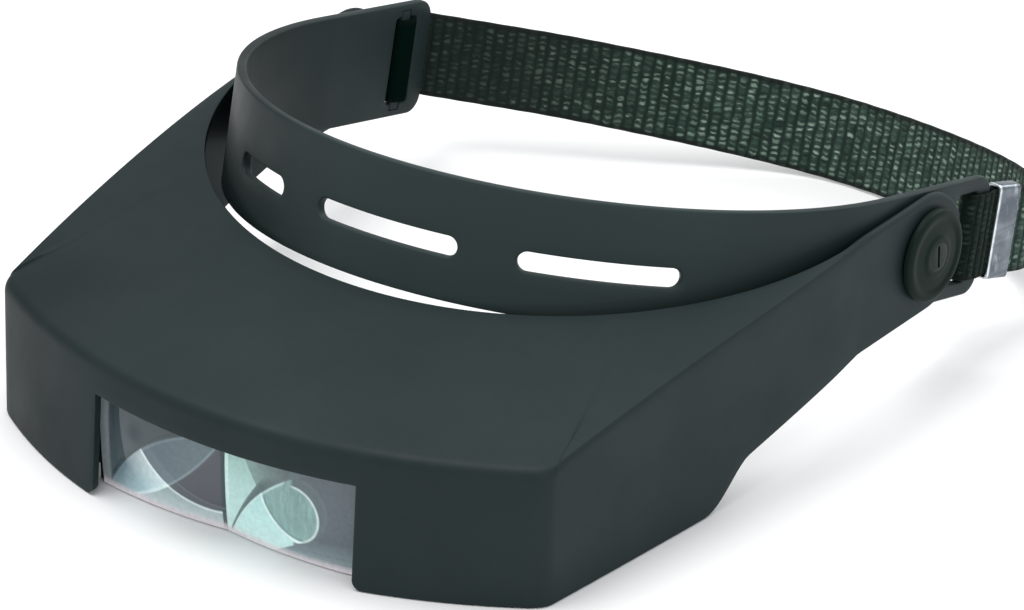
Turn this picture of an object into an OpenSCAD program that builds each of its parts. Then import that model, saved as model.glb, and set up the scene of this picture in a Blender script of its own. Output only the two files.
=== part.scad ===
// Head visor magnifier: a moulded headband with a webbing strap, and a hinged
// hood that carries two flat-backed magnifying lenses in front of the eyes.
// Origin: middle of the temple pivot axis. X runs along the pivot axis (wearer's
// left is +X), the lenses face -Y, +Z is up. Millimetres.

/* [Pivots] */
// distance from the centre plane to the outer face of a headband arm
arm_x = 79.2; // [70:0.1:90]
// diameter of the moulded pivot stud
stud_d = 8; // [6:0.5:10]
// running clearance on the diameter between stud and hood arm
pivot_gap = 0.1; // [0.04:0.02:0.2]
// thickness of the fibre friction washer
friction_t = 0.5; // [0.4:0.1:1]
// thickness of the spring washer under the knob
spring_t = 0.3; // [0.2:0.05:0.6]
// diameter of the tension knob
knob_d = 21.4; // [16:0.2:26]
// height of the tension knob at its rim
knob_h = 2.1; // [1.5:0.1:5]

/* [Headband] */
// wall thickness of the headband
band_t = 2.2; // [1.6:0.1:3.5]
// height of the headband
band_h = 27.4; // [20:0.2:36]
// tilt of the headband plane, front raised
band_tilt = 14.1; // [0:0.1:25]
// how far the forehead curve reaches in front of the pivot axis
band_front = 97.8; // [80:0.2:115]
// where the forehead curve meets the straight arms
band_blend = 14.2; // [4:0.2:30]
// squareness of the forehead curve, 2 is an ellipse
band_pow = 2; // [2:0.05:3]
// how far the arms reach behind the pivot axis
band_back = 27.1; // [22:0.1:40]
// corner radius of the arm ends
band_corner = 4.5; // [1:0.5:8]
// length of the middle vent slot
vent_len = 35; // [20:1:40]
// length of the vent slot on the wearer's left
vent_left = 26.6; // [14:0.2:32]
// length of the vent slot on the wearer's right
vent_right = 18.6; // [14:0.2:32]
// height of each vent slot
vent_h = 4.6; // [3:0.2:8]
// plain length between neighbouring vent slots
vent_gap = 12; // [8:1:24]
// offset of the row of vent slots towards the wearer's left
vent_shift = 5; // [0:0.1:8]
// front edge of the strap slot behind the pivot axis
slot_front = 13.5; // [12:0.5:16]
// width of the strap slot
slot_w = 8; // [6:0.5:10]
// height of the strap slot
slot_h = 20.8; // [16:0.2:24]

/* [Hood] */
// wall thickness of the hood
hood_t = 1.9; // [1.5:0.1:3]
// half width of the hood at its front corners
front_w = 74; // [60:0.5:90]
// front corners in front of the pivot axis
front_y = 129.3; // [110:0.5:150]
// how far the curved front bulges past its corners
front_bow = 21; // [5:0.5:35]
// extra bulge along the bottom rim
front_draft = 2.2; // [0:0.2:6]
// bottom rim below the pivot axis
hood_drop = 31.5; // [24:0.5:45]
// radius of the rounded hood arm end
boss_r = 13.7; // [11:0.1:16]
// half width of the head cutout
cut_half_w = 80.9; // [70:0.1:90]
// depth of the head cutout
cut_depth = 78.7; // [60:0.1:90]
// centre of the head cutout in front of the pivot axis
cut_y = 23; // [10:0.5:40]
// top surface height at the front of the cutout
cut_z = 10.4; // [2:0.2:20]
// level part of the side bottom rim ends this far in front of the axis
step_y = 80; // [60:1:100]

/* [Lenses] */
// width of one lens
lens_w = 34.7; // [25:0.1:40]
// height of a lens
lens_h = 24.9; // [18:0.1:32]
// radius of the convex front face
lens_r = 115; // [60:1:300]
// lens thickness at its thickest point
lens_t = 5; // [3:0.1:8]
// position of the flat lens back in front of the pivot axis
lens_back = 140.4; // [130:0.1:150]
// half width of the window in the hood front
window_w = 34.8; // [30:0.1:42]
// offset of the window towards the wearer's left
window_shift = 1.9; // [0:0.1:4]
// top of the window below the pivot axis
window_z = 7.5; // [2:0.1:12]
// rounding where the window sides meet the bottom rim
window_r = 2.6; // [1:0.1:5]

/* [Strap] */
// width of the webbing
strap_w = 20; // [15:0.5:25]
// thickness of the webbing
strap_t = 1.3; // [0.8:0.1:2]
// length of the metal strap slide
slide_l = 6.6; // [5:0.2:14]
// height of the metal strap slide
slide_h = 22; // [18:0.2:28]
// sheet thickness of the metal strap slide
slide_t = 0.6; // [0.4:0.1:1]
// outward lean of the folded strap behind the slot
fold_lean = 12; // [0:1:20]

/* [Hidden] */

// stations along the pivot axis, measured from the centre plane
air = 0.05;                                 // gap between touching parts
hood_in = arm_x + air + friction_t + air;   // inner face of a hood arm
hood_out = hood_in + hood_t;                // outer face of a hood arm
knob_x = hood_out + 2 * air + spring_t;     // inner face of a knob
stud_end = knob_x - 2 * air;                // outer end of the pivot stud
insert_bore_x = arm_x - 1.2;                // inner end of the bore for the stud insert
insert_bore_d = 4.8;

shell_col = [0.20, 0.23, 0.235];
band_col = [0.21, 0.24, 0.245];
dark_col = [0.13, 0.16, 0.15];
pivot_screw_col = [0.16, 0.18, 0.18];
metal_col = [0.72, 0.76, 0.80];
brass_col = [0.75, 0.60, 0.30];
fibre_col = [0.42, 0.30, 0.22];
web_col = [0.12, 0.17, 0.14];
glass_col = [0.72, 0.88, 0.86, 0.45];

function mix(a, b, t) = a * (1 - t) + b * t;
function clamp01(t) = max(0, min(1, t));
function smooth(t) = let(c = clamp01(t)) c * c * (3 - 2 * c);
function unit(v) = v / norm(v);
function left_of(dir) = [-dir[1], dir[0]];
// quadratic and cubic Bezier curves
function bend(start, corner, end, t) =
  start * (1 - t) * (1 - t) + corner * 2 * t * (1 - t) + end * t * t;
function bezier(a, b, c, d, t) =
  a * pow(1 - t, 3) + b * 3 * t * pow(1 - t, 2) + c * 3 * t * t * (1 - t) + d * pow(t, 3);

// triangles joining a row of closed rings, each of size points
function skin(rings, size) = [for (i = [0 : rings - 2]) for (j = [0 : size - 1])
  let(k = (j + 1) % size, here = i * size, next = here + size)
    each [[here + j, here + k, next + j], [here + k, next + k, next + j]]];

// turns +Z outward along the pivot axis, at distance x; side is +1 left, -1 right
module at_pivot(side, x) {
  translate([side * x, 0, 0]) rotate([0, side * 90, 0]) children();
}

// ---------- headband ----------
band_mid = arm_x - band_t / 2;          // middle of an arm's thickness
band_reach = band_front - band_blend;   // depth of the forehead curve
band_end = band_back - band_t / 2;      // centre of the rounded rear edge
side_margin = 6;                        // side outline runs past the forehead
vent_z = -1.6;
vent_mid = [vent_shift - vent_len / 2, vent_shift + vent_len / 2];
// x at both ends of each vent slot: middle, left, right
vent_spans = [
  vent_mid,
  [vent_mid[1] + vent_gap, vent_mid[1] + vent_gap + vent_left],
  [vent_mid[0] - vent_gap - vent_right, vent_mid[0] - vent_gap]];

// plan point of the band, angle from straight ahead, positive to the left;
// face = +1 outer, 0 middle, -1 inner
function band_point(angle, face) = let(
    c = max(cos(angle), 0), s = abs(sin(angle)), side = sign(sin(angle)),
    middle = [band_mid * side * pow(s, 2 / band_pow),
      -band_reach * pow(c, 2 / band_pow) - band_blend],
    normal = [side * pow(s + 0.000001, 2 - 2 / band_pow) / band_mid,
      -pow(c, 2 - 2 / band_pow) / band_reach])
  middle + face * band_t / 2 * unit(normal);

module band_plan() {
  steps = 72;
  outer = [for (i = [0 : steps]) band_point(-90 + 180 * i / steps, 1)];
  inner = [for (i = [0 : steps]) band_point(90 - 180 * i / steps, -1)];
  union() {
    polygon(concat([[-arm_x, band_end]], outer, [[arm_x, band_end], [arm_x - band_t, band_end]],
      inner, [[-arm_x + band_t, band_end]]));
    for (side = [-1, 1]) translate([side * band_mid, band_end]) circle(d = band_t, $fn = 32);
  }
}

// side outline of the headband: a long strip with rounded rear corners
module band_side() {
  start = -band_front - side_margin;
  corner_y = band_back - band_corner;
  union() {
    translate([start, -band_h / 2]) square([corner_y - start, band_h]);
    translate([start, -band_h / 2 + band_corner])
      square([band_back - start, band_h - 2 * band_corner]);
    for (end = [-1, 1]) translate([corner_y, end * (band_h / 2 - band_corner)])
      circle(band_corner, $fn = 48);
  }
}

// a stadium-shaped cutter, length along X, cutting along Y
module stadium(length, height, depth) {
  cube([length - height, depth, height], center = true);
  for (end = [-1, 1]) translate([end * (length - height) / 2, 0, 0]) rotate([90, 0, 0])
    cylinder(d = height, h = depth, center = true, $fn = 32);
}

// a vent slot is cut straight through the band, square to the chord it spans
function vent_angle(x) = asin(pow(min(1, abs(x) / band_mid), band_pow / 2)) * sign(x);
module vent(span) {
  from = band_point(vent_angle(span[0]), 0);
  to = band_point(vent_angle(span[1]), 0);
  chord = to - from;
  translate([(from[0] + to[0]) / 2, (from[1] + to[1]) / 2, vent_z])
    rotate([0, 0, atan2(chord[1], chord[0])])
      stadium(norm(chord), vent_h, 16);
}

// strap slot, with a shallow seat for the anchor bar in the inner face
module strap_slot(side) {
  translate([side * band_mid, slot_front + slot_w / 2, 0])
    cube([8, slot_w, slot_h], center = true);
  translate([side * (arm_x - band_t), slot_front + 3.4, 0])
    cube([2.6, 3.8, 24.4], center = true);
}

module headband() {
  stud_root = 1;   // the stud starts this deep in the arm
  color(band_col) difference() {
    union() {
      rotate([-band_tilt, 0, 0]) difference() {
        intersection() {
          linear_extrude(height = band_h, center = true) band_plan();
          rotate([90, 0, 90]) linear_extrude(height = 200, center = true) band_side();
        }
        for (span = vent_spans) vent(span);
        for (side = [-1, 1]) strap_slot(side);
      }
      for (side = [-1, 1]) at_pivot(side, arm_x - stud_root)
        cylinder(d = stud_d, h = stud_end - arm_x + stud_root, $fn = 48);
    }
    for (side = [-1, 1]) at_pivot(side, insert_bore_x)
      cylinder(d = insert_bore_d, h = 12, $fn = 40);
  }
}

// ---------- hood ----------
// The shell is a row of closed sections. Stations run from the middle of the front,
// round a corner and back along the side to the arm end.
front_steps = 16;       // steps along the half front
corner_steps = 4;       // steps round a corner
corner_end = front_steps + corner_steps;
corner_trim = 2.6;      // the front stops this far short of the corner
side_front_y = -126.6;  // front end of the side wall
side_taper_y = -35;     // the side wall tapers inward in front of here
crease_front_z = 0.1;   // crease height at the front corner
crease_mid_z = 9.7;     // crease height halfway back
crease_drop = 0.9;      // crease below the top of the hood arm
inner_crease_drop = 1.55;  // inner crease below the outer one, towards the front
arm_edge_w = 0.7;       // width of the top edge where the top has run out
rim_lean = 1.2;         // how far the bottom rim stands forward of the crease
corner_cut_angle = 42;  // cutout angle that faces a front corner
corner_cut_share = 0.93;  // share of that angle taken up by the front

side_ys = concat(
  [for (i = [0 : 14]) mix(side_front_y, -84, i / 14)],
  [for (i = [1 : 12]) mix(-84, -60, i / 12)],
  [for (i = [1 : 12]) mix(-60, 0, i / 12)],
  [for (i = [1 : 5]) 12.6 * sin(15 * i)]);
last_station = corner_end + len(side_ys);

// y of the bowed front at x
front_r = (front_w * front_w + front_bow * front_bow) / (2 * front_bow);
function front_curve(x) = -front_y - front_bow + front_r - sqrt(front_r * front_r - x * x);
// half width of the side wall at depth y
function side_x(y) = y >= side_taper_y ? hood_out
  : hood_out - (hood_out - front_w) * pow((side_taper_y - y) / (side_taper_y + front_y), 1.3);
// top and bottom edges of the side wall; behind the axis both follow the round arm end
function arm_end_z(y) = sqrt(boss_r * boss_r - y * y);
function top_z(y) = y > 0 ? arm_end_z(y) : boss_r;
function rim_z(y) = let(rear = min(-21.9 + 0.22 * (y + 64), -boss_r))
  y > 0 ? -arm_end_z(y) : mix(-hood_drop, rear, smooth((y + step_y) / 15));
// height of the edge between the side wall and the top: a parabola through three
// heights in front of the cutout centre, then a fixed drop below the top
function crease_z(y) = let(u = clamp01(1 + y / front_y))
  y > -cut_y ? top_z(y) - crease_drop
  : crease_front_z * (1 - u) * (1 - 2 * u) + crease_mid_z * 4 * u * (1 - u)
    + (boss_r - crease_drop) * u * (2 * u - 1);
// head cutout edge at an angle from straight ahead
function cut_point(angle) = [cut_half_w * sin(angle), -cut_depth * cos(angle) - cut_y,
  cut_z + (boss_r - cut_z) * pow(1 - cos(angle), 1.3)];

function station_y(i) = i <= corner_end ? -front_y : side_ys[i - corner_end - 1];
function cut_angle(i) =
  i <= front_steps ? corner_cut_angle * corner_cut_share * i / front_steps
  : i <= corner_end ? corner_cut_angle
    * mix(corner_cut_share, 1, (i - front_steps) / (corner_steps + 1))
  : 90 - (90 - corner_cut_angle)
    * clamp01((-cut_y - station_y(i)) / (-cut_y - side_front_y));

// plan point of the wall at station i, depth = 0 outer face or 1 inner face;
// the factors on the wall thickness t allow for the slant of the wall
function wall_point(i, depth) = let(
    t = hood_t * depth,
    half_w = front_w - t * 1.05,
    front_x = half_w - corner_trim,
    front_end = [front_x, front_curve(front_x) + t * 1.03],
    side_start = [side_x(side_front_y) - t, side_front_y + t * 0.4],
    corner = [side_x(-front_y) - t, -front_y + t * 1.05])
  i <= front_steps ?
    let(x = front_x * i / front_steps) [x, front_curve(x) + t * (1 + 0.12 * pow(x / half_w, 2))]
  : i <= corner_end ?
    bend(front_end, corner, side_start, (i - front_steps) / (corner_steps + 1))
  : let(k = i - corner_end - 1, y = side_ys[k])
    [side_x(y) - t, y + (k < 6 ? t * 0.4 * (1 - k / 6) : 0)];

// closed section at station i, for the +X half: up the outside from the bottom rim,
// over the rounded crease to the cutout edge, and back down the inside
function section(i) = let(
    y = station_y(i),
    outer = wall_point(i, 0),
    inner = wall_point(i, 1),
    run_out = smooth((y + 62) / 38),
    lean = rim_lean * clamp01((-90 - y) / 36)
      + (i <= front_steps ? front_draft * (1 - pow(outer[0] / front_w, 2)) : 0),
    rim_out = [outer[0], outer[1] - lean, rim_z(y)],
    rim_in = [inner[0], inner[1] - lean, rim_z(y)],
    crease_out = [outer[0], outer[1], crease_z(y)],
    crease_in = [inner[0], inner[1], crease_z(y) - mix(inner_crease_drop, 0, run_out)],
    edge_out = y > -cut_y ? [cut_half_w, y, top_z(y)] : cut_point(cut_angle(i)),
    edge_in = mix(edge_out - [0, 0, hood_t], edge_out - [arm_edge_w, 0, 0.02], run_out),
    top_len = norm(edge_out - crease_out),
    round_out = min(3, top_len * 0.45),
    round_in = min(1.4, top_len * 0.3),
    out_low = crease_out + round_out * unit(rim_out - crease_out),
    out_high = crease_out + round_out * unit(edge_out - crease_out),
    in_low = crease_in + round_in * unit(rim_in - crease_in),
    in_high = crease_in + round_in * unit(edge_in - crease_in))
  concat([rim_out, mix(rim_out, out_low, 0.5)],
    [for (u = [0 : 0.25 : 1]) bend(out_low, crease_out, out_high, u)],
    [mix(out_high, edge_out, 0.35), mix(out_high, edge_out, 0.7), edge_out],
    [edge_in, mix(edge_in, in_high, 0.5)],
    [for (u = [0 : 0.5 : 1]) bend(in_high, crease_in, in_low, u)],
    [mix(in_low, rim_in, 0.5), rim_in]);

module hood_shell() {
  size = len(section(0));
  points = [for (i = [-last_station : last_station]) for (p = section(abs(i)))
    i < 0 ? [-p[0], p[1], p[2]] : p];
  // each arm end is closed with a fan of triangles about its middle point
  hub_x = hood_in + hood_t / 2;
  hub_y = section(last_station)[0][1];
  hub = len(points);
  last_ring = 2 * last_station * size;
  fans = [for (j = [0 : size - 1]) let(k = (j + 1) % size)
    each [[j, hub, k], [last_ring + k, hub + 1, last_ring + j]]];
  polyhedron(
    points = concat(points, [[-hub_x, hub_y, 0], [hub_x, hub_y, 0]]),
    faces = concat(skin(2 * last_station + 1, size), fans));
}

screw_x = 41.5;
screw_z = [-12, -25];             // upper and lower row of lens frame screws
boss_front = [-143.6, -145.2];    // front end of the screw bosses in each row
boss_back = -lens_back - air;

// places children at the lens frame screws, their +Z pointing back along +Y
module at_screws(rows = [0, 1]) {
  for (side = [-1, 1], row = rows)
    translate([side * screw_x, 0, screw_z[row]]) rotate([-90, 0, 0]) children();
}

// window outline in the front wall, its foot widened by a quarter round on each side
module window_outline() {
  foot = [for (a = [0 : 9 : 90])
    [window_w + window_r * (1 - cos(a)), window_r * (1 - sin(a))]];
  half = concat([[window_w, hood_drop - window_z], [window_w, window_r + 1]], foot,
    [[window_w + window_r, -5]]);
  polygon(concat(half, [for (i = [len(half) - 1 : -1 : 0]) [-half[i][0], half[i][1]]]));
}

module visor_hood() {
  color(shell_col) difference() {
    union() {
      hood_shell();
      // blind bosses that take the lens frame screws
      for (row = [0, 1]) at_screws([row]) translate([0, 0, boss_front[row]])
        cylinder(d = 5.4, h = boss_back - boss_front[row], $fn = 40);
    }
    // lens window, open at the bottom
    translate([window_shift, -140, -hood_drop]) rotate([90, 0, 0])
      linear_extrude(height = 20) window_outline();
    // pivot bores
    for (side = [-1, 1]) at_pivot(side, 76) cylinder(d = stud_d + pivot_gap, h = 10, $fn = 48);
    // screw holes
    at_screws() translate([0, 0, -143.2]) cylinder(d = 2.2, h = 6, $fn = 32);
  }
}

// ---------- lenses ----------
lens_z = -31.3;             // bottom of the lenses
lens_top = lens_z + lens_h;
lens_gap = 0.03;            // from the centre plane to each lens
lens_centre_in = 2;         // face centre this far inward of the lens middle
plate_y = -lens_back + air; // front face of the frame plate
plate_t = 2.2;
head_y = plate_y + plate_t + air;  // underside of the frame screw heads

module lens(side) {
  color(glass_col) intersection() {
    translate([side > 0 ? lens_gap : -lens_w - lens_gap, -lens_back - lens_t - 1, lens_z])
      cube([lens_w, lens_t + 1, lens_h]);
    translate([side * (lens_w / 2 - lens_centre_in), -lens_back - lens_t + lens_r,
      lens_z + lens_h / 2]) sphere(r = lens_r, $fn = 220);
  }
}
module lens_left() { lens(1); }
module lens_right() { lens(-1); }

// inner frame that holds both lenses against the front wall: a plate with
// walls that reach forward beside and above the lens pair
module lens_frame() {
  gap = 0.1;          // between the lenses and the walls
  wall_t = 1.6;
  top_wall_t = 2.2;
  wall_front = -142.4;
  wall_depth = plate_y + 1 - wall_front;
  side_lip = 1.6;     // overlap of the plate behind the lens edges
  top_lip = 1.8;
  wall_out = lens_w + gap + wall_t;
  color(dark_col) difference() {
    union() {
      translate([-45.6, plate_y, -29]) cube([91.2, plate_t, 26.4]);
      for (side = [-1, 1])
        translate([side > 0 ? lens_w + gap : -wall_out, wall_front, lens_z + gap])
          cube([wall_t, wall_depth, lens_h + 3]);
      translate([-wall_out, wall_front, lens_top + gap])
        cube([2 * wall_out, wall_depth, top_wall_t]);
    }
    translate([-lens_w + side_lip, plate_y - 1, -40])
      cube([2 * (lens_w - side_lip), 6, 40 + lens_top - top_lip]);
    at_screws() translate([0, 0, plate_y - 2]) cylinder(d = 2.6, h = 8, $fn = 32);
  }
}

// cross-slotted screws
module lens_screws() {
  shank_y = -143;
  color(metal_col) at_screws() difference() {
    union() {
      translate([0, 0, head_y]) cylinder(d = 4.4, h = 1.4, $fn = 40);
      translate([0, 0, shank_y]) cylinder(d = 2.1, h = head_y + 0.2 - shank_y, $fn = 32);
    }
    for (turn = [0, 90]) rotate([0, 0, turn])
      translate([-1.3, -0.3, head_y + 0.7]) cube([2.6, 0.6, 2]);
  }
}

// ---------- pivot hardware ----------
recess_z = 1.2;   // floor of the screw recess above the knob's inner face

module tension_knob(side) {
  rim_r = knob_d / 2;
  bore_r = 1.65;
  recess_r = 3.45;
  // radius, height above the inner face
  profile = [
    [bore_r, 0], [rim_r - 0.5, 0], [rim_r, 0.4], [rim_r, knob_h - 0.9],
    [rim_r - 0.2, knob_h - 0.45], [rim_r - 0.7, knob_h - 0.1], [rim_r - 1.2, knob_h],
    [rim_r - 2.1, knob_h], [rim_r - 2.5, knob_h - 0.3], [6.6, knob_h - 0.15],
    [4.9, knob_h + 0.05], [4.5, knob_h + 0.35], [recess_r, knob_h + 0.4],
    [recess_r, recess_z], [bore_r, recess_z]];
  color(dark_col) at_pivot(side, knob_x) rotate_extrude($fn = 96) polygon(profile);
}
module tension_knob_left() { tension_knob(1); }
module tension_knob_right() { tension_knob(-1); }

module pivot_screw(side) {
  head_x = knob_x + recess_z + air;
  shank_x = arm_x - 1.1;
  shank_end = head_x + 0.05;   // sunk a little into the head
  color(pivot_screw_col) at_pivot(side, 0) difference() {
    union() {
      translate([0, 0, head_x]) cylinder(d = 6.7, h = knob_h - 0.85, $fn = 48);
      translate([0, 0, shank_x]) cylinder(d = 3, h = shank_end - shank_x, $fn = 40);
    }
    translate([-2.65, -0.45, knob_x + knob_h - 0.5]) cube([5.3, 0.9, 3]);
  }
}
module pivot_screw_left() { pivot_screw(1); }
module pivot_screw_right() { pivot_screw(-1); }

module stud_inserts() {
  insert_x = insert_bore_x + air;
  color(brass_col) for (side = [-1, 1]) at_pivot(side, insert_x) difference() {
    cylinder(d = insert_bore_d - 2 * air, h = stud_end - insert_x, $fn = 40);
    translate([0, 0, -1]) cylinder(d = 3.1, h = 12, $fn = 40);
  }
}

// one washer round each stud, its inner face at distance x
module washers(outer_d, thickness, x) {
  for (side = [-1, 1]) at_pivot(side, x) difference() {
    cylinder(d = outer_d, h = thickness, $fn = 72);
    translate([0, 0, -1]) cylinder(d = stud_d + 0.2, h = thickness + 2, $fn = 48);
  }
}
module friction_washers() { color(fibre_col) washers(17, friction_t, arm_x + air); }
module spring_washers() { color(metal_col) washers(14, spring_t, hood_out + air); }

// ---------- strap ----------
// The webbing is a ribbon. Its centre line is laid out in the headband plane as
// [x, distance back from the pivot axis]; behind the arms it sags below that plane.
sag_start = 41.5;
strap_back = 74.8;   // rearmost reach of the strap
sag = 3.5;
sag_twist = 4;       // extra tilt of the ribbon at the back
function sag_share(back) = (back - sag_start) / (strap_back - sag_start);
function sag_z(back) = back <= sag_start ? 0 : sag * pow(sag_share(back), 1.5);
function ribbon_tilt(back) = band_tilt + sag_twist * clamp01(sag_share(back));
// a plan point, raised by height across the ribbon, in the main frame
function on_band(p, height) = let(back = p[1], tilt = ribbon_tilt(back))
  [p[0], back * cos(band_tilt) + height * sin(tilt),
    -back * sin(band_tilt) - sag_z(back) + height * cos(tilt)];

layer = strap_t / 2 + 0.04;              // half distance between the two layers
post = slot_front + slot_w;              // front of the strap post
post_turn = post - 0.7;                  // centre of the turn round the left post
wrap = band_t / 2 + 0.1 + strap_t / 2;   // ribbon centre from the middle of the arm
outer_x = band_mid + wrap;
inner_x = band_mid - wrap;

// folded part behind the left arm; layer_side = +1 outer, 0 middle, -1 inner
fold_start = [band_mid, band_back + 0.6];
fold_dir = [sin(fold_lean), cos(fold_lean)];
fold_out = [cos(fold_lean), -sin(fold_lean)];
function fold_point(along, layer_side) =
  fold_start + fold_dir * along + fold_out * layer_side * layer;

// left half of the strap round the back of the head, from its rearmost point
run_end = fold_point(12.5, -1);
apex = [14, strap_back];
function back_curve(t) = bezier(apex, [44, strap_back], run_end + fold_dir * 12.5, run_end, t);
function back_dir(t) = unit(back_curve(t + 0.002) - back_curve(t - 0.002));

// turn round the rear edge of the right arm
function right_turn(angle) = [-band_mid - wrap * sin(angle), band_end + wrap * cos(angle)];

anchor = [-77.6, slot_front + 2.35];     // centre of the anchor bar
eye_r = 1.3;                             // ribbon centre round the anchor bar

// centre line from the tail tip, through the left slot, round the back, to the right slot
tail_steps = 12;
ribbon = concat(
  // tail, outside the back curve
  [for (i = [0 : tail_steps]) let(t = mix(0.8, 0.99, i / tail_steps))
    back_curve(t) + left_of(back_dir(t)) * 2 * layer],
  // outer layer of the fold, onto the outside of the left arm
  [for (along = [11.6, 8.4, 5.2, 1.9]) fold_point(along, 1)],
  [for (u = [0.2 : 0.2 : 1]) bezier(fold_point(1.9, 1), fold_point(0.8, 1),
    [outer_x, band_back + 0.6], [outer_x, band_back - 1.7], u)],
  // through the slot, round the post
  [[outer_x, post + 1.5]],
  [for (a = [0 : 20 : 180]) [band_mid + wrap * cos(a), post_turn - wrap * sin(a)]],
  [[inner_x, post + 1.5]],
  // inner layer of the fold
  [for (u = [0 : 0.2 : 0.8]) bezier([inner_x, band_back - 1.7], [inner_x, band_back + 0.3],
    fold_point(0.6, -1), fold_point(1.9, -1), u)],
  [for (along = [1.9, 5.2, 8.4, 11.4]) fold_point(along, -1)],
  // round the back of the head
  [for (i = [0 : 30]) back_curve(1 - i / 30)],
  [for (i = [1 : 18]) bezier(apex, [-4, strap_back], [-22, 60.4], [-40, 50], i / 18)],
  [for (i = [1 : 6]) mix([-40, 50], right_turn(30), i / 6)],
  // outside of the right arm, in through the slot
  [for (a = [45 : 15 : 90]) right_turn(a)],
  [[-outer_x, post + 1.2]],
  [for (u = [0 : 0.25 : 1]) bezier([-outer_x, post + 0.4], [-outer_x, post - 1.2],
    [anchor[0] - eye_r, post - 1.0], [anchor[0] - eye_r, post - 2.7], u)],
  // eye round the anchor bar
  [for (a = [0 : 20 : 180]) anchor - eye_r * [cos(a), sin(a)]],
  [for (back = [4.2, 6]) [anchor[0] + eye_r, slot_front + back]]);

function ribbon_dir(i) = unit(ribbon[min(i + 1, len(ribbon) - 1)] - ribbon[max(i - 1, 0)]);
function ribbon_face(i, face) = ribbon[i] + left_of(ribbon_dir(i)) * face * strap_t / 2;

module strap() {
  count = len(ribbon);
  half = strap_w / 2;
  points = [for (i = [0 : count - 1])
    let(left = ribbon_face(i, 1), right = ribbon_face(i, -1))
      each [on_band(left, -half), on_band(left, half),
        on_band(right, half), on_band(right, -half)]];
  end_cap = [for (j = [0 : 3]) (count - 1) * 4 + j];
  color(web_col)
    polyhedron(points = points, faces = concat(skin(count, 4), [[3, 2, 1, 0]], [end_cap]));
}

// round bar with a flat fin behind it, in the right strap slot
module strap_anchor() {
  bar_r = 0.55;
  bar_h = 24;
  color(dark_col) rotate([-band_tilt, 0, 0]) translate([anchor[0], anchor[1], -bar_h / 2])
    union() {
      cylinder(r = bar_r, h = bar_h, $fn = 32);
      translate([-bar_r, 0, 0]) cube([2 * bar_r, 2.6, bar_h]);
    }
}

// flat metal loop round both layers of the fold
module strap_slide() {
  inside = 4 * layer + 0.16;
  outside = inside + 2 * slide_t;
  middle = fold_point(5.4, 0);
  color(metal_col) rotate([-band_tilt, 0, 0]) translate([middle[0], middle[1], 0])
    rotate([90, 0, -fold_lean]) difference() {
      slab(outside, slide_h, slide_l, outside / 2 - 0.2);
      slab(inside, strap_w + 0.6, slide_l + 2, 0.3);
    }
}

// a bar along Z, its four long edges rounded to corner_r
module slab(width, height, length, corner_r) {
  union() {
    cube([width - 2 * corner_r, height, length], center = true);
    cube([width, height - 2 * corner_r, length], center = true);
    for (i = [-1, 1], j = [-1, 1])
      translate([i * (width / 2 - corner_r), j * (height / 2 - corner_r), 0])
        cylinder(r = corner_r, h = length, center = true, $fn = 32);
  }
}

headband();
visor_hood();
lens_left();
lens_right();
lens_frame();
lens_screws();
tension_knob_left();
tension_knob_right();
pivot_screw_left();
pivot_screw_right();
stud_inserts();
friction_washers();
spring_washers();
strap();
strap_anchor();
strap_slide();
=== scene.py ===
"""A head-worn magnifier: hood with two lenses, headband, webbing strap and its clip.

X runs across the head, -Y is the front, +Z is up; the hood's pivot axis is the X axis through
the origin. The headband and strap are drawn in the band's own frame, which TILT turns about X.
Shapes are in millimetres; meshes, lights and the camera are in metres.
"""
import math
from math import pi

import bmesh
import bpy
import numpy as np
from mathutils import Matrix, Vector
from mathutils.geometry import delaunay_2d_cdt


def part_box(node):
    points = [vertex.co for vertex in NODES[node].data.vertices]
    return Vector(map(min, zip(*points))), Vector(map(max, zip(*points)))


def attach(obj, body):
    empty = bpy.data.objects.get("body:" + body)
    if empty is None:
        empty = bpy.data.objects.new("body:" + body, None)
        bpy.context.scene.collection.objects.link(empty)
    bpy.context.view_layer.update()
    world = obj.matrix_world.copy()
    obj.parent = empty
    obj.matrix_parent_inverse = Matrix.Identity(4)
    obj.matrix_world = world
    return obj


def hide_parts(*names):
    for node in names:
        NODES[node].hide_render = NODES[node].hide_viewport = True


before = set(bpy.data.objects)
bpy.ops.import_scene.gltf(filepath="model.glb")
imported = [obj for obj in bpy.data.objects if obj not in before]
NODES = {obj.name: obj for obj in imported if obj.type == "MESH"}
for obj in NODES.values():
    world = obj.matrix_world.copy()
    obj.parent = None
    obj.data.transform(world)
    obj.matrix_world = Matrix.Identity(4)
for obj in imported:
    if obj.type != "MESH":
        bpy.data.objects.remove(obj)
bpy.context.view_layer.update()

MM = 0.001
scene = bpy.context.scene


def box_mm(node):
    low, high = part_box(node)
    return np.array(low) * 1000, np.array(high) * 1000


# ------------------------------------------------------------------ dimensions, mm
hood_low, hood_high = box_mm("visor_hood")

# Hood
HOOD_WALL = 1.9
HOOD_OUTER = hood_high[0]             # outer face of the side, from the middle
HOOD_INNER = HOOD_OUTER - HOOD_WALL
HOOD_DROP = -hood_low[2]              # foot below the pivot
FRONT_HALF = 74.0                     # half width of the bowed front wall
FRONT_Y = 129.3                       # front corners ahead of the pivot
FRONT_BOW = 21.0                      # rise of the front wall's bow
CORNER_DRAFT, FRONT_DRAFT = 1.2, 2.2  # forward lean of the foot, and what the middle adds
CORNER_INSET = 2.6                    # where the corner curve starts on the front wall
CORNER_Y = -126.6                     # where the corner curve meets the side
SIDE_BEND_Y = 35.0                    # ahead of this the sides turn inwards
EAR_R = 13.7                          # round end at the pivot
EAR_CREASE = 0.9                      # crease below the ear's top
LIP_X, LIP_REACH = 80.9, 78.7         # half axes of the top's elliptical opening
LIP_Y, LIP_Z = 23.0, 10.4             # its centre ahead of the pivot, its height in front
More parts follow.
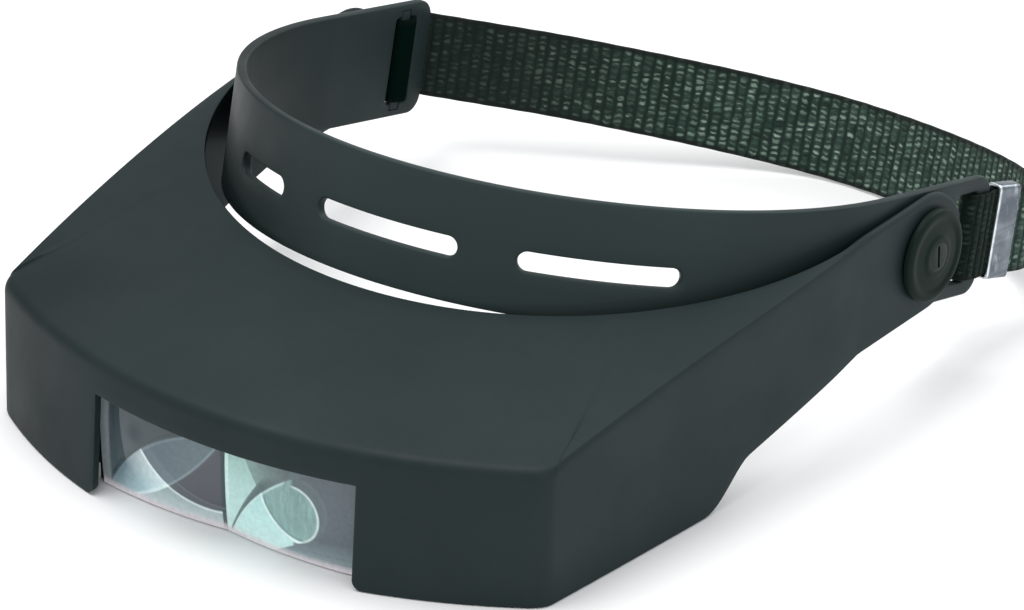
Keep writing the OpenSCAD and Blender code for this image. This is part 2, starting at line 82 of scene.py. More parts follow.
LIP_FRONT, LIP_SIDE = math.radians(34.44), math.radians(47.04)  # its angles at the corner's ends
STEP_Y = 80.0                         # where the side's foot starts to step up
WINDOW_HALF, WINDOW_X, WINDOW_TOP = 34.8, 1.9, 7.5
WINDOW_FOOT_R = 2.6
SCREW_X, SCREW_Y = 41.5, -143.2       # front screw holes
SCREW_BOSSES = ((-12, -143.6, 3.15), (-25, -145.2, 4.75))  # z, front end y, length

# Headband
STUD_TIP = box_mm("headband")[1][0]
ARM_OUTER = HOOD_INNER - 0.6
BAND_WALL, BAND_HEIGHT = 2.2, 27.4
BAND_MID = ARM_OUTER - BAND_WALL / 2
BAND_FRONT, BAND_BLEND, BAND_BACK = 97.8, 14.2, 27.1  # brow, end of the curve, arm end
TILT = math.radians(14.1)
VENTS = ((-12.5, 22.5), (34.5, 61.1), (-43.1, -24.5))  # x from, x to
VENT_Z, VENT_HALF = -1.6, 2.3
SLOT_START, SLOT_WIDTH, SLOT_HEIGHT = 13.5, 8.0, 20.8  # start is behind the pivot
SLOT_END = SLOT_START + SLOT_WIDTH

# Strap and clip
STRAP_WIDTH, STRAP_THICK = 20.0, 1.3
RIB_PITCH = 2.5
LAYER = STRAP_THICK / 2 + 0.04        # centre of either layer from the fold's middle
BACK_REACH = 74.8                     # rearmost point of the strap
LEAN = math.radians(12)               # outward lean of the doubled run
FOLD_START = np.array([BAND_MID, BAND_BACK + 0.6])
FOLD_DIR = np.array([math.sin(LEAN), math.cos(LEAN)])
FOLD_OUT = np.array([math.cos(LEAN), -math.sin(LEAN)])
CLIP_CENTRE = FOLD_START + FOLD_DIR * 5.4
CLIP_LENGTH, CLIP_WALL = 6.6, 0.6


def clamp01(t):
    return min(1.0, max(0.0, t))


def smooth(t):
    c = clamp01(t)
    return c * c * (3 - 2 * c)


def unit(v):
    v = np.asarray(v, float)
    return v / max(np.linalg.norm(v), 1e-12)


def quadratic(a, b, c, t):
    return a * (1 - t) ** 2 + b * 2 * t * (1 - t) + c * t * t


def cubic(a, b, c, d, t):
    a, b, c, d = map(np.asarray, (a, b, c, d))
    return a * (1 - t) ** 3 + b * 3 * t * (1 - t) ** 2 + c * 3 * t * t * (1 - t) + d * t ** 3


# ------------------------------------------------------------------ mesh tools
def make(name, verts, faces, uv=None, angle=35):
    """A smooth-shaded mesh object from points in millimetres; uv holds one pair per point."""
    mesh = bpy.data.meshes.new(name)
    mesh.from_pydata([tuple(p) for p in np.asarray(verts, float) * MM], [], faces)
    mesh.update()
    if uv is not None:
        layer = mesh.uv_layers.new(name="UVMap")
        corners = np.zeros(len(mesh.loops), np.int32)
        mesh.loops.foreach_get("vertex_index", corners)
        layer.data.foreach_set("uv", np.asarray(uv, np.float32)[corners].ravel())
    ob = bpy.data.objects.new(name, mesh)
    scene.collection.objects.link(ob)
    shade(mesh, angle)
    return ob


def shade(mesh, angle):
    mesh.polygons.foreach_set("use_smooth", np.ones(len(mesh.polygons), bool))
    mesh.set_sharp_from_angle(angle=math.radians(angle))
    mesh.update()


def weld(bm):
    bmesh.ops.remove_doubles(bm, verts=bm.verts, dist=2e-6)


def face_outward(ob, welded=False):
    """Turns all normals outwards, after welding if asked."""
    bm = bmesh.new()
    bm.from_mesh(ob.data)
    if welded:
        weld(bm)
    bmesh.ops.recalc_face_normals(bm, faces=bm.faces)
    bm.to_mesh(ob.data)
    bm.free()


def boolean(ob, tools, operation="DIFFERENCE", angle=35):
    """Exact boolean with each tool in turn; the tools are removed."""
    for tool in tools:
        cut = ob.modifiers.new("cut", "BOOLEAN")
        cut.operation = operation
        cut.solver = "EXACT"
        cut.object = tool
        graph = bpy.context.evaluated_depsgraph_get()
        graph.update()
        result = bpy.data.meshes.new_from_object(
            ob.evaluated_get(graph), preserve_all_data_layers=True, depsgraph=graph)
        old = ob.data
        ob.modifiers.clear()
        ob.data = result
        bpy.data.meshes.remove(old)
        shade(ob.data, angle)
        tool_mesh = tool.data
        bpy.data.objects.remove(tool)
        bpy.data.meshes.remove(tool_mesh)


def rod(axis, origin, radius, length, sides=64):
    """A closed cylinder as a boolean tool."""
    axis = unit(axis)
    across = unit(np.cross(axis, [0.3, 0.9, 0.1]))
    up = np.cross(axis, across)
    origin = np.asarray(origin, float)
    verts = []
    for i in range(sides):
        turn = 2 * pi * i / sides
        out = across * math.cos(turn) + up * math.sin(turn)
        verts += [origin + axis * h + out * radius for h in (0, length)]
    verts += [origin, origin + axis * length]
    start, end = 2 * sides, 2 * sides + 1
    pairs = [(2 * i, 2 * ((i + 1) % sides)) for i in range(sides)]
    faces = [(i, j, j + 1, i + 1) for i, j in pairs]
    for i, j in pairs:
        faces += [(start, j, i), (end, i + 1, j + 1)]
    return make("tool", verts, faces)


def tube(rings, centres):
    """Skins a row of equal rings and closes both ends with fans round the two centres."""
    count, around = rings.shape[:2]
    ids = np.arange(count * around).reshape(count, around)
    near, far = ids[:-1], ids[1:]
    quads = np.stack([near, np.roll(near, -1, 1), np.roll(far, -1, 1), far], -1)
    faces = quads.reshape(-1, 4).tolist()
    first, last = ids[0].tolist(), ids[-1].tolist()
    centre = count * around
    faces += [(centre, q, p) for p, q in zip(first, first[1:] + first[:1])]
    faces += [(centre + 1, p, q) for p, q in zip(last, last[1:] + last[:1])]
    return np.concatenate([rings.reshape(-1, 3), centres]), faces


def fillet(before, corner, after, radius, steps):
    """steps + 1 points that round a corner."""
    a, b = before - corner, after - corner
    reach_a = min(radius, np.linalg.norm(a) * 0.45)
    reach_b = min(radius, np.linalg.norm(b) * 0.45)
    a, b = corner + unit(a) * reach_a, corner + unit(b) * reach_b
    return [quadratic(a, corner, b, i / steps) for i in range(steps + 1)]


def offset_loop(loop, distance):
    """Moves a closed 2-D loop into the material, which lies on its left."""
    loop = np.asarray(loop, float)
    edge = np.roll(loop, -1, 0) - loop
    edge /= np.linalg.norm(edge, axis=1)[:, None]
    normal = np.stack([-edge[:, 1], edge[:, 0]], 1)
    mitre = np.roll(normal, 1, 0) + normal
    mitre /= np.linalg.norm(mitre, axis=1)[:, None]
    cosine = np.clip((mitre * normal).sum(1), 0.4, 1)
    return loop + mitre * (distance / cosine)[:, None]


def inside(loop, points):
    """Which points lie in the closed loop."""
    x, y = points[:, 0], points[:, 1]
    result = np.zeros(len(points), bool)
    for (x0, y0), (x1, y1) in zip(loop, np.roll(loop, -1, 0)):
        rise = (y1 - y0) if y1 != y0 else 1e-12
        result ^= ((y0 > y) != (y1 > y)) & (x < (x1 - x0) * (y - y0) / rise + x0)
    return result


def in_plate(loops, points):
    """Which points lie in the outline loops[0] and in none of the holes."""
    result = inside(loops[0], points)
    for hole in loops[1:]:
        result &= ~inside(hole, points)
    return result


def plate(loops, thickness, edge, steps, spacing, place):
    """A plate with rounded edges.

    loops[0] is its outline (counter-clockwise), the rest its holes (clockwise), in (s, z).
    edge is the edge radius in that many steps, spacing that of the points inside the faces.
    place carries (s, z, height) to millimetres in space. Returns points and faces.
    """
    rim = []
    for k in range(steps + 1):
        turn = pi / 2 * k / steps
        rim.append((edge * (1 - math.sin(turn)), thickness / 2 - edge * (1 - math.cos(turn))))
    rings = rim + [(inset, -height) for inset, height in reversed(rim)]
    flat, faces, tops, bottoms = [], [], [], []
    for loop in loops:
        n, base = len(loop), len(flat)
        for inset, height in rings:
            flat += [(s, z, height) for s, z in offset_loop(loop, inset)]
        last = base + (len(rings) - 1) * n
        for near in range(base, last, n):
            far = near + n
            for i in range(n):
                j = (i + 1) % n
                faces.append((near + i, far + i, far + j, near + j))
        tops += range(base, base + n)
        bottoms += range(last, last + n)

    # Grid points that keep clear of every edge
    caps = [offset_loop(loop, edge) for loop in loops]
    low, high = caps[0].min(0), caps[0].max(0)
    columns, rows = (np.arange(low[k] + spacing[k] / 2, high[k], spacing[k]) for k in (0, 1))
    grid = np.array([(x, z) for x in columns for z in rows])
    keep = in_plate(caps, grid)
    rim_points = np.concatenate(caps)
    for k in range(0, len(grid), 2000):
        gaps = grid[k:k + 2000][:, None, :] - rim_points[None]
        keep[k:k + 2000] &= np.sqrt((gaps ** 2).sum(-1)).min(1) > min(spacing) * 0.55
    grid = grid[keep]

    # One triangulation serves both faces
    points = [Vector(p) for p in rim_points]
    edges = []
    base = 0
    for loop in caps:
        n = len(loop)
        edges += [(base + i, base + (i + 1) % n) for i in range(n)]
        base += n
    points += [Vector(p) for p in grid]
    found, _, polygons, origins, _, _ = delaunay_2d_cdt(points, edges, [], 0, 1e-7)
    source = [o[0] if o else -1 for o in origins]
    found = np.array([tuple(v) for v in found])
    triangles = np.array([f for f in polygons if len(f) == 3])
    triangles = triangles[in_plate(caps, found[triangles].mean(1))]
    for ids, height in ((tops, thickness / 2), (bottoms, -thickness / 2)):
        ids += range(len(flat), len(flat) + len(grid))
        flat += [(s, z, height) for s, z in grid]
    for a, b, c in triangles:
        i, j, k = source[a], source[b], source[c]
        if min(i, j, k) < 0:
            continue
        p, q, r = found[a], found[b], found[c]
        if (q[0] - p[0]) * (r[1] - p[1]) - (q[1] - p[1]) * (r[0] - p[0]) < 0:
            j, k = k, j
        faces.append((tops[i], tops[j], tops[k]))
        faces.append((bottoms[i], bottoms[k], bottoms[j]))
    return place(np.array(flat)), faces


def rounded_corners(x0, x1, y0, y1, radius, steps, first=0):
    """Corner points of a rounded rectangle, counter-clockwise; corner 0 is at (x1, y1)."""
    points = []
    for corner in ((first + k) % 4 for k in range(4)):
        cx = x1 - radius if corner in (0, 3) else x0 + radius
        cy = y1 - radius if corner in (0, 1) else y0 + radius
        for i in range(steps + 1):
            turn = math.radians(90 * corner + 90 * i / steps)
            points.append((cx + radius * math.cos(turn), cy + radius * math.sin(turn)))
    return points


def subdivide(points, step, closed):
    """Adds points so that none are much further apart than step, and drops repeats."""
    dense = []
    for p, q in zip(points, points[1:] + (points[:1] if closed else [])):
        dense.append(p)
        k = int(math.hypot(q[0] - p[0], q[1] - p[1]) // step) + 1
        dense += [(p[0] + (q[0] - p[0]) * j / k, p[1] + (q[1] - p[1]) * j / k)
                  for j in range(1, k)]
    if not closed:
        dense.append(points[-1])
    clean = dense[:1]
    for p in dense[1:]:
        if math.dist(p, clean[-1]) > 1e-4:
            clean.append(p)
    if closed and math.dist(clean[0], clean[-1]) < 1e-4:
        clean.pop()
    return clean


def round_rect(x0, x1, y0, y1, radius, steps, spacing, hole=False):
    """A closed rounded rectangle; holes run clockwise."""
    loop = subdivide(rounded_corners(x0, x1, y0, y1, radius, steps), spacing, True)
    return np.array(loop[::-1] if hole else loop)


def tilt_map(p):
    """The headband's own frame to the object's frame."""
    p = np.asarray(p, float)
    c, s = math.cos(TILT), math.sin(TILT)
    return np.stack([p[..., 0], p[..., 1] * c + p[..., 2] * s, -p[..., 1] * s + p[..., 2] * c], -1)


# ------------------------------------------------------------------ headband
def band_line():
    """The +X half of the band's centre line: arc length from the brow, x, y, outward normal."""
    turn = np.linspace(0, pi / 2, 4000)
    arm = np.linspace(-BAND_BLEND, BAND_BACK + 2, 200)[1:]
    x = np.concatenate([BAND_MID * np.sin(turn), np.full(len(arm), BAND_MID)])
    y = np.concatenate([-(BAND_FRONT - BAND_BLEND) * np.cos(turn) - BAND_BLEND, arm])
    s = np.concatenate([[0], np.cumsum(np.hypot(np.diff(x), np.diff(y)))])
    keep = np.concatenate([[True], np.diff(s) > 1e-9])
    x, y, s = x[keep], y[keep], s[keep]
    even = np.arange(0, s[-1], 0.5)
    x, y = np.interp(even, s, x), np.interp(even, s, y)
    dx, dy = np.gradient(x, even), np.gradient(y, even)
    dx[0], dy[0] = 1, 0
    length = np.hypot(dx, dy)
    return even, x, y, dy / length, -dx / length


LINE_S, LINE_X, LINE_Y, LINE_NX, LINE_NY = band_line()
STRAIGHT = LINE_X > BAND_MID - 0.01
PIVOT_S = float(np.interp(0.0, LINE_Y[STRAIGHT], LINE_S[STRAIGHT]))  # arc length at the pivot


def band_arc(x):
    """Signed arc length at a place across the brow."""
    widest = np.argmax(LINE_X)
    s = float(np.interp(abs(x), LINE_X[:widest], LINE_S[:widest]))
    return s * (1 if x > 0 else -1)


def band_map(points):
    """(arc length, z, outward) to the object's frame."""
    s, z, out = points.T
    along = np.abs(s)
    x = np.interp(along, LINE_S, LINE_X) + np.interp(along, LINE_S, LINE_NX) * out
    y = np.interp(along, LINE_S, LINE_Y) + np.interp(along, LINE_S, LINE_NY) * out
    return tilt_map(np.stack([np.where(s < 0, -x, x), y, z], -1))


def groove_tool(side):
    """A box for the shallow groove across the slot, on the arm's inner face."""
    middle = side * (ARM_OUTER - BAND_WALL)
    x0, x1 = middle - 1.3, middle + 1.3
    y0, y1 = SLOT_START + 1.5, SLOT_START + 5.3
    verts = [(x, y, z) for z in (-12.2, 12.2)
             for x, y in ((x0, y0), (x1, y0), (x1, y1), (x0, y1))]
    faces = [(3, 2, 1, 0), (4, 5, 6, 7), (0, 1, 5, 4), (1, 2, 6, 5), (2, 3, 7, 6), (3, 0, 4, 7)]
    ob = make("tool", verts, faces)
    ob.data.transform(Matrix.Rotation(-TILT, 4, "X"))
    return ob


def build_headband():
    end, half = PIVOT_S + BAND_BACK, BAND_HEIGHT / 2
    loops = [round_rect(-end, end, -half, half, radius=4.5, steps=12, spacing=1.6)]
    for x0, x1 in VENTS:
        loops.append(round_rect(band_arc(x0), band_arc(x1), VENT_Z - VENT_HALF,
                                VENT_Z + VENT_HALF, radius=VENT_HALF - 0.001, steps=10,
                                spacing=1.2, hole=True))
    for side in (-1, 1):
        s0, s1 = sorted((side * (PIVOT_S + SLOT_START), side * (PIVOT_S + SLOT_END)))
        loops.append(round_rect(s0, s1, -SLOT_HEIGHT / 2, SLOT_HEIGHT / 2, radius=0.9, steps=6,
                                spacing=1.2, hole=True))
    ob = make("headband_shell", *plate(loops, BAND_WALL, edge=0.5, steps=4,
                                       spacing=(1.6, 2.6), place=band_map))
    # moulded pivot studs, their bores, and the grooves across the slots
    for side in (-1, 1):
        axis = (side, 0, 0)
        stud = rod(axis, (side * (ARM_OUTER - 1), 0, 0), 4.0, STUD_TIP - ARM_OUTER + 1)
        boolean(ob, [stud], "UNION")
        boolean(ob, [rod(axis, (side * (ARM_OUTER - 1.2), 0, 0), 2.4, 12)])
        boolean(ob, [groove_tool(side)])
    return ob


# ------------------------------------------------------------------ hood
def front_y(x):
    """The bowed front wall in plan."""
    radius = (FRONT_HALF * FRONT_HALF + FRONT_BOW * FRONT_BOW) / (2 * FRONT_BOW)
    return -FRONT_Y - FRONT_BOW + radius - math.sqrt(radius * radius - x * x)


def side_x(y):
    """The outer face of the side in plan."""
    if y >= -SIDE_BEND_Y:
        return HOOD_OUTER
    ahead = (-SIDE_BEND_Y - y) / (FRONT_Y - SIDE_BEND_Y)
    return HOOD_OUTER - (HOOD_OUTER - FRONT_HALF) * ahead ** 1.3


def ear_z(y):
    """Top of the pivot ear."""
    return math.sqrt(EAR_R ** 2 - max(y, 0) ** 2)


def crease_z(y):
    """Where the wall turns into the top: a parabola through three heights, then the ear."""
    front, middle, back = 0.1, 9.7, EAR_R - EAR_CREASE
    u = clamp01(1 + y / FRONT_Y)
    curve = front * (1 - u) * (1 - 2 * u) + middle * 4 * u * (1 - u) + back * u * (2 * u - 1)
    k = smooth((y + 34) / 16)
    return curve * (1 - k) + (ear_z(y) - EAR_CREASE) * k


def foot_z(y):
    """The side's lower edge: full depth in front, a sloping step, then the ear."""
    if y > 0:
        return -ear_z(y)
    slope = min(-21.9 + 0.22 * (y + 64), -EAR_R)
    k = smooth((y + STEP_Y) / 15)
    return -HOOD_DROP * (1 - k) + slope * k


def lip_point(angle):
    """The outer edge of the top's opening; angle 0 is the middle of the front."""
    return np.array([LIP_X * math.sin(angle), -LIP_REACH * math.cos(angle) - LIP_Y,
                     LIP_Z + (EAR_R - LIP_Z) * (1 - math.cos(angle)) ** 1.3])


def plan_point(kind, at, inset):
    """The wall in plan, on its outer face or inset from it."""
    width = FRONT_HALF - inset * 1.05
    end_x = width - CORNER_INSET
    if kind == "front":
        x = end_x * at
        return np.array([x, front_y(x) + inset * (1 + 0.12 * (x / width) ** 2)])
    if kind == "corner":
        front_end = np.array([end_x, front_y(end_x) + inset * 1.03])
        corner = np.array([side_x(-FRONT_Y) - inset, -FRONT_Y + inset * 1.05])
        side_end = np.array([side_x(CORNER_Y) - inset, CORNER_Y + inset * 0.4])
        return quadratic(front_end, corner, side_end, at)
    skew = max(0, 1 - (at - CORNER_Y) / 18.257143)  # dies out along the side
    return np.array([side_x(at) - inset, at + inset * 0.4 * skew])


def hood_section(kind, at, shrink=0.0):
    """The closed section at one station of the +X half.

    at is the fraction along the front or corner, or y on the side; shrink narrows the ear's end.
    """
    outer, inner = plan_point(kind, at, 0), plan_point(kind, at, HOOD_WALL)
    y = at if kind == "side" else -FRONT_Y
    if kind == "front":
        angle = LIP_FRONT * at
        draft = CORNER_DRAFT + FRONT_DRAFT * (1 - (outer[0] / FRONT_HALF) ** 2)
    elif kind == "corner":
        angle = LIP_FRONT + (LIP_SIDE - LIP_FRONT) * at
        draft = CORNER_DRAFT
    else:
        angle = pi / 2 - (pi / 2 - LIP_SIDE) * clamp01((-LIP_Y - y) / (-CORNER_Y - LIP_Y))
        draft = CORNER_DRAFT * clamp01((-90 - y) / 36)
    ear = smooth((y + 62) / 38)  # 0 under the flat top, 1 where only the side is left
    z_crease = crease_z(y)
    z_foot = foot_z(y) if kind == "side" else -HOOD_DROP
    foot, foot_in = (np.array([p[0], p[1] - draft, z_foot]) for p in (outer, inner))
    crease = np.array([*outer, z_crease])
    crease_in = np.array([*inner, z_crease - 1.55 * (1 - ear)])
    lip = np.array([LIP_X, y, ear_z(y)]) if y > -LIP_Y else lip_point(angle)
    lip_in = (lip - [0, 0, HOOD_WALL]) * (1 - ear) + (lip - [0.7, 0, 0.02]) * ear
    if shrink:
        middle = HOOD_INNER + HOOD_WALL / 2
        for p in (foot, foot_in, crease, crease_in, lip, lip_in):
            p[0] = middle + (p[0] - middle) * (1 - shrink / HOOD_WALL * 2)
            p[2] *= 1 - shrink / 9
    top_length = np.linalg.norm(lip - crease)
    reach, reach_in = min(2.6, top_length * 0.45), min(1.3, top_length * 0.3)
    wall_end, top_start = (crease + reach * unit(p - crease) for p in (foot, lip))
    wall_end_in, top_start_in = (crease_in + reach_in * unit(p - crease_in)
                                 for p in (foot_in, lip_in))

    def between(p, q, n):
        return [p + (q - p) * i / n for i in range(1, n)]

    def bend(p, corner, q, n):
        return [quadratic(p, corner, q, i / n) for i in range(n + 1)]

    def edge(before, corner, after):
        return fillet(before, corner, after, radius=0.42, steps=3)

    round_foot, round_foot_in = edge(foot_in, foot, wall_end), edge(wall_end_in, foot_in, foot)
    round_lip, round_lip_in = edge(top_start, lip, lip_in), edge(lip, lip_in, top_start_in)
    return (round_foot + between(round_foot[-1], wall_end, 9)
            + bend(wall_end, crease, top_start, 8) + between(top_start, round_lip[0], 14)
            + round_lip + round_lip_in + between(round_lip_in[-1], top_start_in, 12)
            + bend(top_start_in, crease_in, wall_end_in, 5)
            + between(wall_end_in, round_foot_in[0], 8) + round_foot_in)


def window_tool():
    """The window's cutter: straight sides, its foot widened by a quarter round on each side."""
    right = [(WINDOW_HALF, -WINDOW_TOP)]
    for turn in np.radians(np.arange(0, 91, 9)):
        right.append((WINDOW_HALF + WINDOW_FOOT_R * (1 - math.cos(turn)),
                      -HOOD_DROP + WINDOW_FOOT_R * (1 - math.sin(turn))))
    right.append((WINDOW_HALF + WINDOW_FOOT_R, -HOOD_DROP - 5))
    loop = right + [(-x, z) for x, z in reversed(right)]
    n = len(loop)
    verts = [(x + WINDOW_X, y, z) for y in (-160, -140) for x, z in loop]
    faces = [tuple(range(n)), tuple(range(2 * n - 1, n - 1, -1))]
    faces += [(i, n + i, n + (i + 1) % n, (i + 1) % n) for i in range(n)]
    ob = make("tool", verts, faces)
    face_outward(ob)
    return ob


def bevel_window(mesh):
    """Breaks the window's top and side edges by a small radius."""
    bm = bmesh.new()
    bm.from_mesh(mesh)
    weld(bm)
    chosen = []
    for edge in bm.edges:
        if len(edge.link_faces) != 2 or edge.calc_face_angle(0) <= math.radians(50):
            continue
        ends = [v.co * 1000 for v in edge.verts]
        middle = (ends[0] + ends[1]) / 2
        if middle.y >= -140:
            continue
        on_top = all(abs(p.z + WINDOW_TOP) < 0.02 for p in ends)
        on_side = all(abs(abs(p.x - WINDOW_X) - WINDOW_HALF) < 0.02 for p in ends)
        if ((on_top and abs(middle.x - WINDOW_X) < WINDOW_HALF + 0.1)
                or (on_side and middle.z > -HOOD_DROP + WINDOW_FOOT_R - 0.1)):
            chosen.append(edge)
    bmesh.ops.bevel(bm, geom=chosen, offset=0.28 * MM, offset_type="OFFSET", segments=2,
                    profile=0.5, affect="EDGES", clamp_overlap=True)
    bm.to_mesh(mesh)
    bm.free()


def build_hood():
    stations = [("front", i / 46) for i in range(47)]
    stations += [("corner", i / 12) for i in range(1, 12)]
    stations += [("side", y) for y in np.linspace(CORNER_Y, -62, 44)]
    stations += [("side", y) for y in np.linspace(-62, 0, 40)[1:]]
    stations += [("side", 12.3 * math.sin(pi / 2 * i / 14)) for i in range(1, 15)]
    stations += [("side", 12.52, 0.16), ("side", 12.6, 0.42)]
    half = np.array([hood_section(*station) for station in stations])
    rings = np.concatenate([half[:0:-1] * [-1, 1, 1], half])
    centres = [ring.mean(0) * [1, 1, 0] for ring in (rings[0], rings[-1])]
    ob = make("hood_shell", *tube(rings, centres), angle=40)
    face_outward(ob, welded=True)
    shade(ob.data, 40)
    # screw bosses behind the front wall
    forward_back = (0, 1, 0)
    bosses = [rod(forward_back, (side * SCREW_X, y, z), 2.7, length, 40)
              for side in (-1, 1) for z, y, length in SCREW_BOSSES]
    boolean(ob, bosses, "UNION", 40)
    # window, pivot holes and screw holes
    cuts = [window_tool()]
    for side in (-1, 1):
        cuts.append(rod((side, 0, 0), (side * 76, 0, 0), 4.05, 10))
        for z, _, _ in SCREW_BOSSES:
            cuts.append(rod(forward_back, (side * SCREW_X, SCREW_Y, z), 1.1, 6, 32))
    boolean(ob, cuts, angle=40)
    bevel_window(ob.data)
    shade(ob.data, 40)
    return ob


# ------------------------------------------------------------------ strap
def strap_line():
    """The webbing's centre line in the band's plan, from the tail on +X to the hem on -X."""
    wrap = BAND_WALL / 2 + 0.1 + STRAP_THICK / 2
    outer, inner = BAND_MID + wrap, BAND_MID - wrap
    half_turn = np.radians(np.arange(0, 181, 12))
    apex, far_side = [14, BACK_REACH], [-40.0, 50.0]

    def fold(along, layer):
        return FOLD_START + FOLD_DIR * along + FOLD_OUT * layer * LAYER

    run_end = fold(12.5, -1)

    def back_curve(t):
        return cubic(apex, [44, BACK_REACH], run_end + FOLD_DIR * 12.5, run_end, t)

    line = []
    # loose tail, laid outside the back curve
    for i in range(13):
        t = 0.8 + 0.19 * i / 12
        d = unit(back_curve(t + 0.002) - back_curve(t - 0.002))
        line.append(back_curve(t) + np.array([-d[1], d[0]]) * 2 * LAYER)
    # outer layer of the doubled run, forward onto the arm
    line += [fold(t, 1) for t in (11.6, 8.4, 5.2, 1.9)]
    line += [cubic(fold(1.9, 1), fold(0.8, 1), [outer, BAND_BACK + 0.6],
                   [outer, BAND_BACK - 1.7], t) for t in (.2, .4, .6, .8, 1)]
    # round the bar behind the slot
    line.append([outer, SLOT_END + 1.5])
    line += [[BAND_MID + wrap * math.cos(a), SLOT_END - 0.7 - wrap * math.sin(a)]
             for a in half_turn]
    line.append([inner, SLOT_END + 1.5])
    # inner layer, back again
    line += [cubic([inner, BAND_BACK - 1.7], [inner, BAND_BACK + 0.3], fold(0.6, -1),
                   fold(1.9, -1), t) for t in (0, .2, .4, .6, .8)]
    line += [fold(t, -1) for t in (1.9, 5.2, 8.4, 11.4)]
    # round the back of the head to the -X arm
    line += [back_curve(1 - i / 40) for i in range(41)]
    line += [cubic(apex, [-4, BACK_REACH], [-22, 60.4], far_side, i / 24) for i in range(1, 25)]
    start = np.array(far_side)
    bar_y = BAND_BACK - 1.1
    end = np.array([-BAND_MID - wrap * 0.5, bar_y + wrap * math.cos(pi / 6)])
    line += [start + (end - start) * i / 6 for i in range(1, 7)]
    line += [[-BAND_MID - wrap * math.sin(a), bar_y + wrap * math.cos(a)]
             for a in np.radians([45, 60, 75, 90])]
    # in through the slot and round to the hem
    line.append([-outer, SLOT_END + 1.2])
    line += [cubic([-outer, SLOT_END + 0.4], [-outer, SLOT_END - 1.2], [-78.9, SLOT_END - 1.0],
                   [-78.9, SLOT_END - 2.7], t) for t in (0, .25, .5, .75, 1)]
    line += [[-77.6 - 1.3 * math.cos(a), SLOT_START + 2.35 - 1.3 * math.sin(a)]
             for a in half_turn]
    line += [[-76.3, SLOT_START + 4.2], [-76.3, SLOT_START + 6]]
    return np.array(line, float)


def resample(points, step, passes):
    """Evenly spaced points and their arc lengths, relaxed the given number of times."""
    s = np.concatenate([[0], np.cumsum(np.linalg.norm(np.diff(points, axis=0), axis=1))])
    keep = np.concatenate([[True], np.diff(s) > 1e-6])
    s, points = s[keep], points[keep]
    even = np.linspace(0, s[-1], int(round(s[-1] / step)) + 1)
    line = np.stack([np.interp(even, s, points[:, k]) for k in (0, 1)], 1)
    for _ in range(passes):
        line[1:-1] = line[1:-1] * 0.5 + (line[:-2] + line[2:]) * 0.25
    return even, line


def strap_map(x, back, height):
    """The strap's plan to the object's frame; behind the arms it sags and tilts further."""
    sag_start, sag, sag_tilt = 41.5, 3.5, math.radians(4)
    q = np.clip((back - sag_start) / (BACK_REACH - sag_start), 0, None)
    tilt = TILT + sag_tilt * np.clip(q, 0, 1)
    return np.stack([x, back * math.cos(TILT) + height * np.sin(tilt),
                     -back * math.sin(TILT) - sag * q ** 1.5 + height * np.cos(tilt)], -1)


def strap_section(half, edge_radius):
    """Rows of (across, share of thickness, face), face being 1, -1 or 0 on an edge."""
    flat = half - edge_radius
    section = []
    for side in (1, -1):
        section += [(side * a * flat, side, side) for a in np.linspace(-1, 1, 44)]
        section += [(side * (flat + edge_radius * math.sin(a)), side * math.cos(a), 0)
                    for a in np.radians([22, 50, 90, 130, 158])]
    return np.array(section, float)


def build_strap():
    along, line = resample(strap_line(), step=0.3125, passes=6)
    direction = np.gradient(line, axis=0)
    direction /= np.linalg.norm(direction, axis=1)[:, None]
    half, half_thick = STRAP_WIDTH / 2, STRAP_THICK / 2
    relief_depth = 0.19
    section = strap_section(half, 0.42)
    u = along[:, None] * np.ones((1, len(section)))
    v, share, face = (section[None, :, k] * np.ones((len(along), 1)) for k in range(3))
    # the two faces are half a rib out of step, as weft cords alternate
    phase = u / RIB_PITCH + np.where(face < 0, 0.5, 0.0)
    rib = np.floor(phase)
    cord = 1 - np.abs(2 * (phase - rib) - 1) ** 2.6
    grain = 0.5 + 0.5 * np.cos(2 * pi * (v / 2.1 + 0.5 * (rib % 2)) + 0.9 * np.sin(rib * 2.4))
    off_edge = np.clip((half - 0.9 - np.abs(v)) / 0.5, 0, 1)
    relief = relief_depth * cord * (0.62 + 0.38 * grain) * (0.35 + 0.65 * off_edge)
    selvedge = 0.06 * np.exp(-((np.abs(v) - (half - 0.75)) / 0.3) ** 2)
    thick = np.where(face != 0,
                     half_thick - relief_depth + np.minimum(relief + selvedge, relief_depth),
                     0.8 * (half_thick - 0.10))
    out = share * thick
    # slight wander of the woven edges
    v = v + 0.025 * np.sin(u * 0.9) * (np.abs(v) / half)
    x = line[:, :1] - direction[:, 1:] * out
    back = line[:, 1:] + direction[:, :1] * out
    rings = strap_map(x, back, v)
    verts, faces = tube(rings, [rings[0].mean(0), rings[-1].mean(0)])
    uv = np.concatenate([np.stack([u.ravel(), v.ravel()], 1), [(along[0], 0), (along[-1], 0)]])
    ob = make("webbing_strap", verts, faces, uv, angle=75)
    face_outward(ob)
    return ob


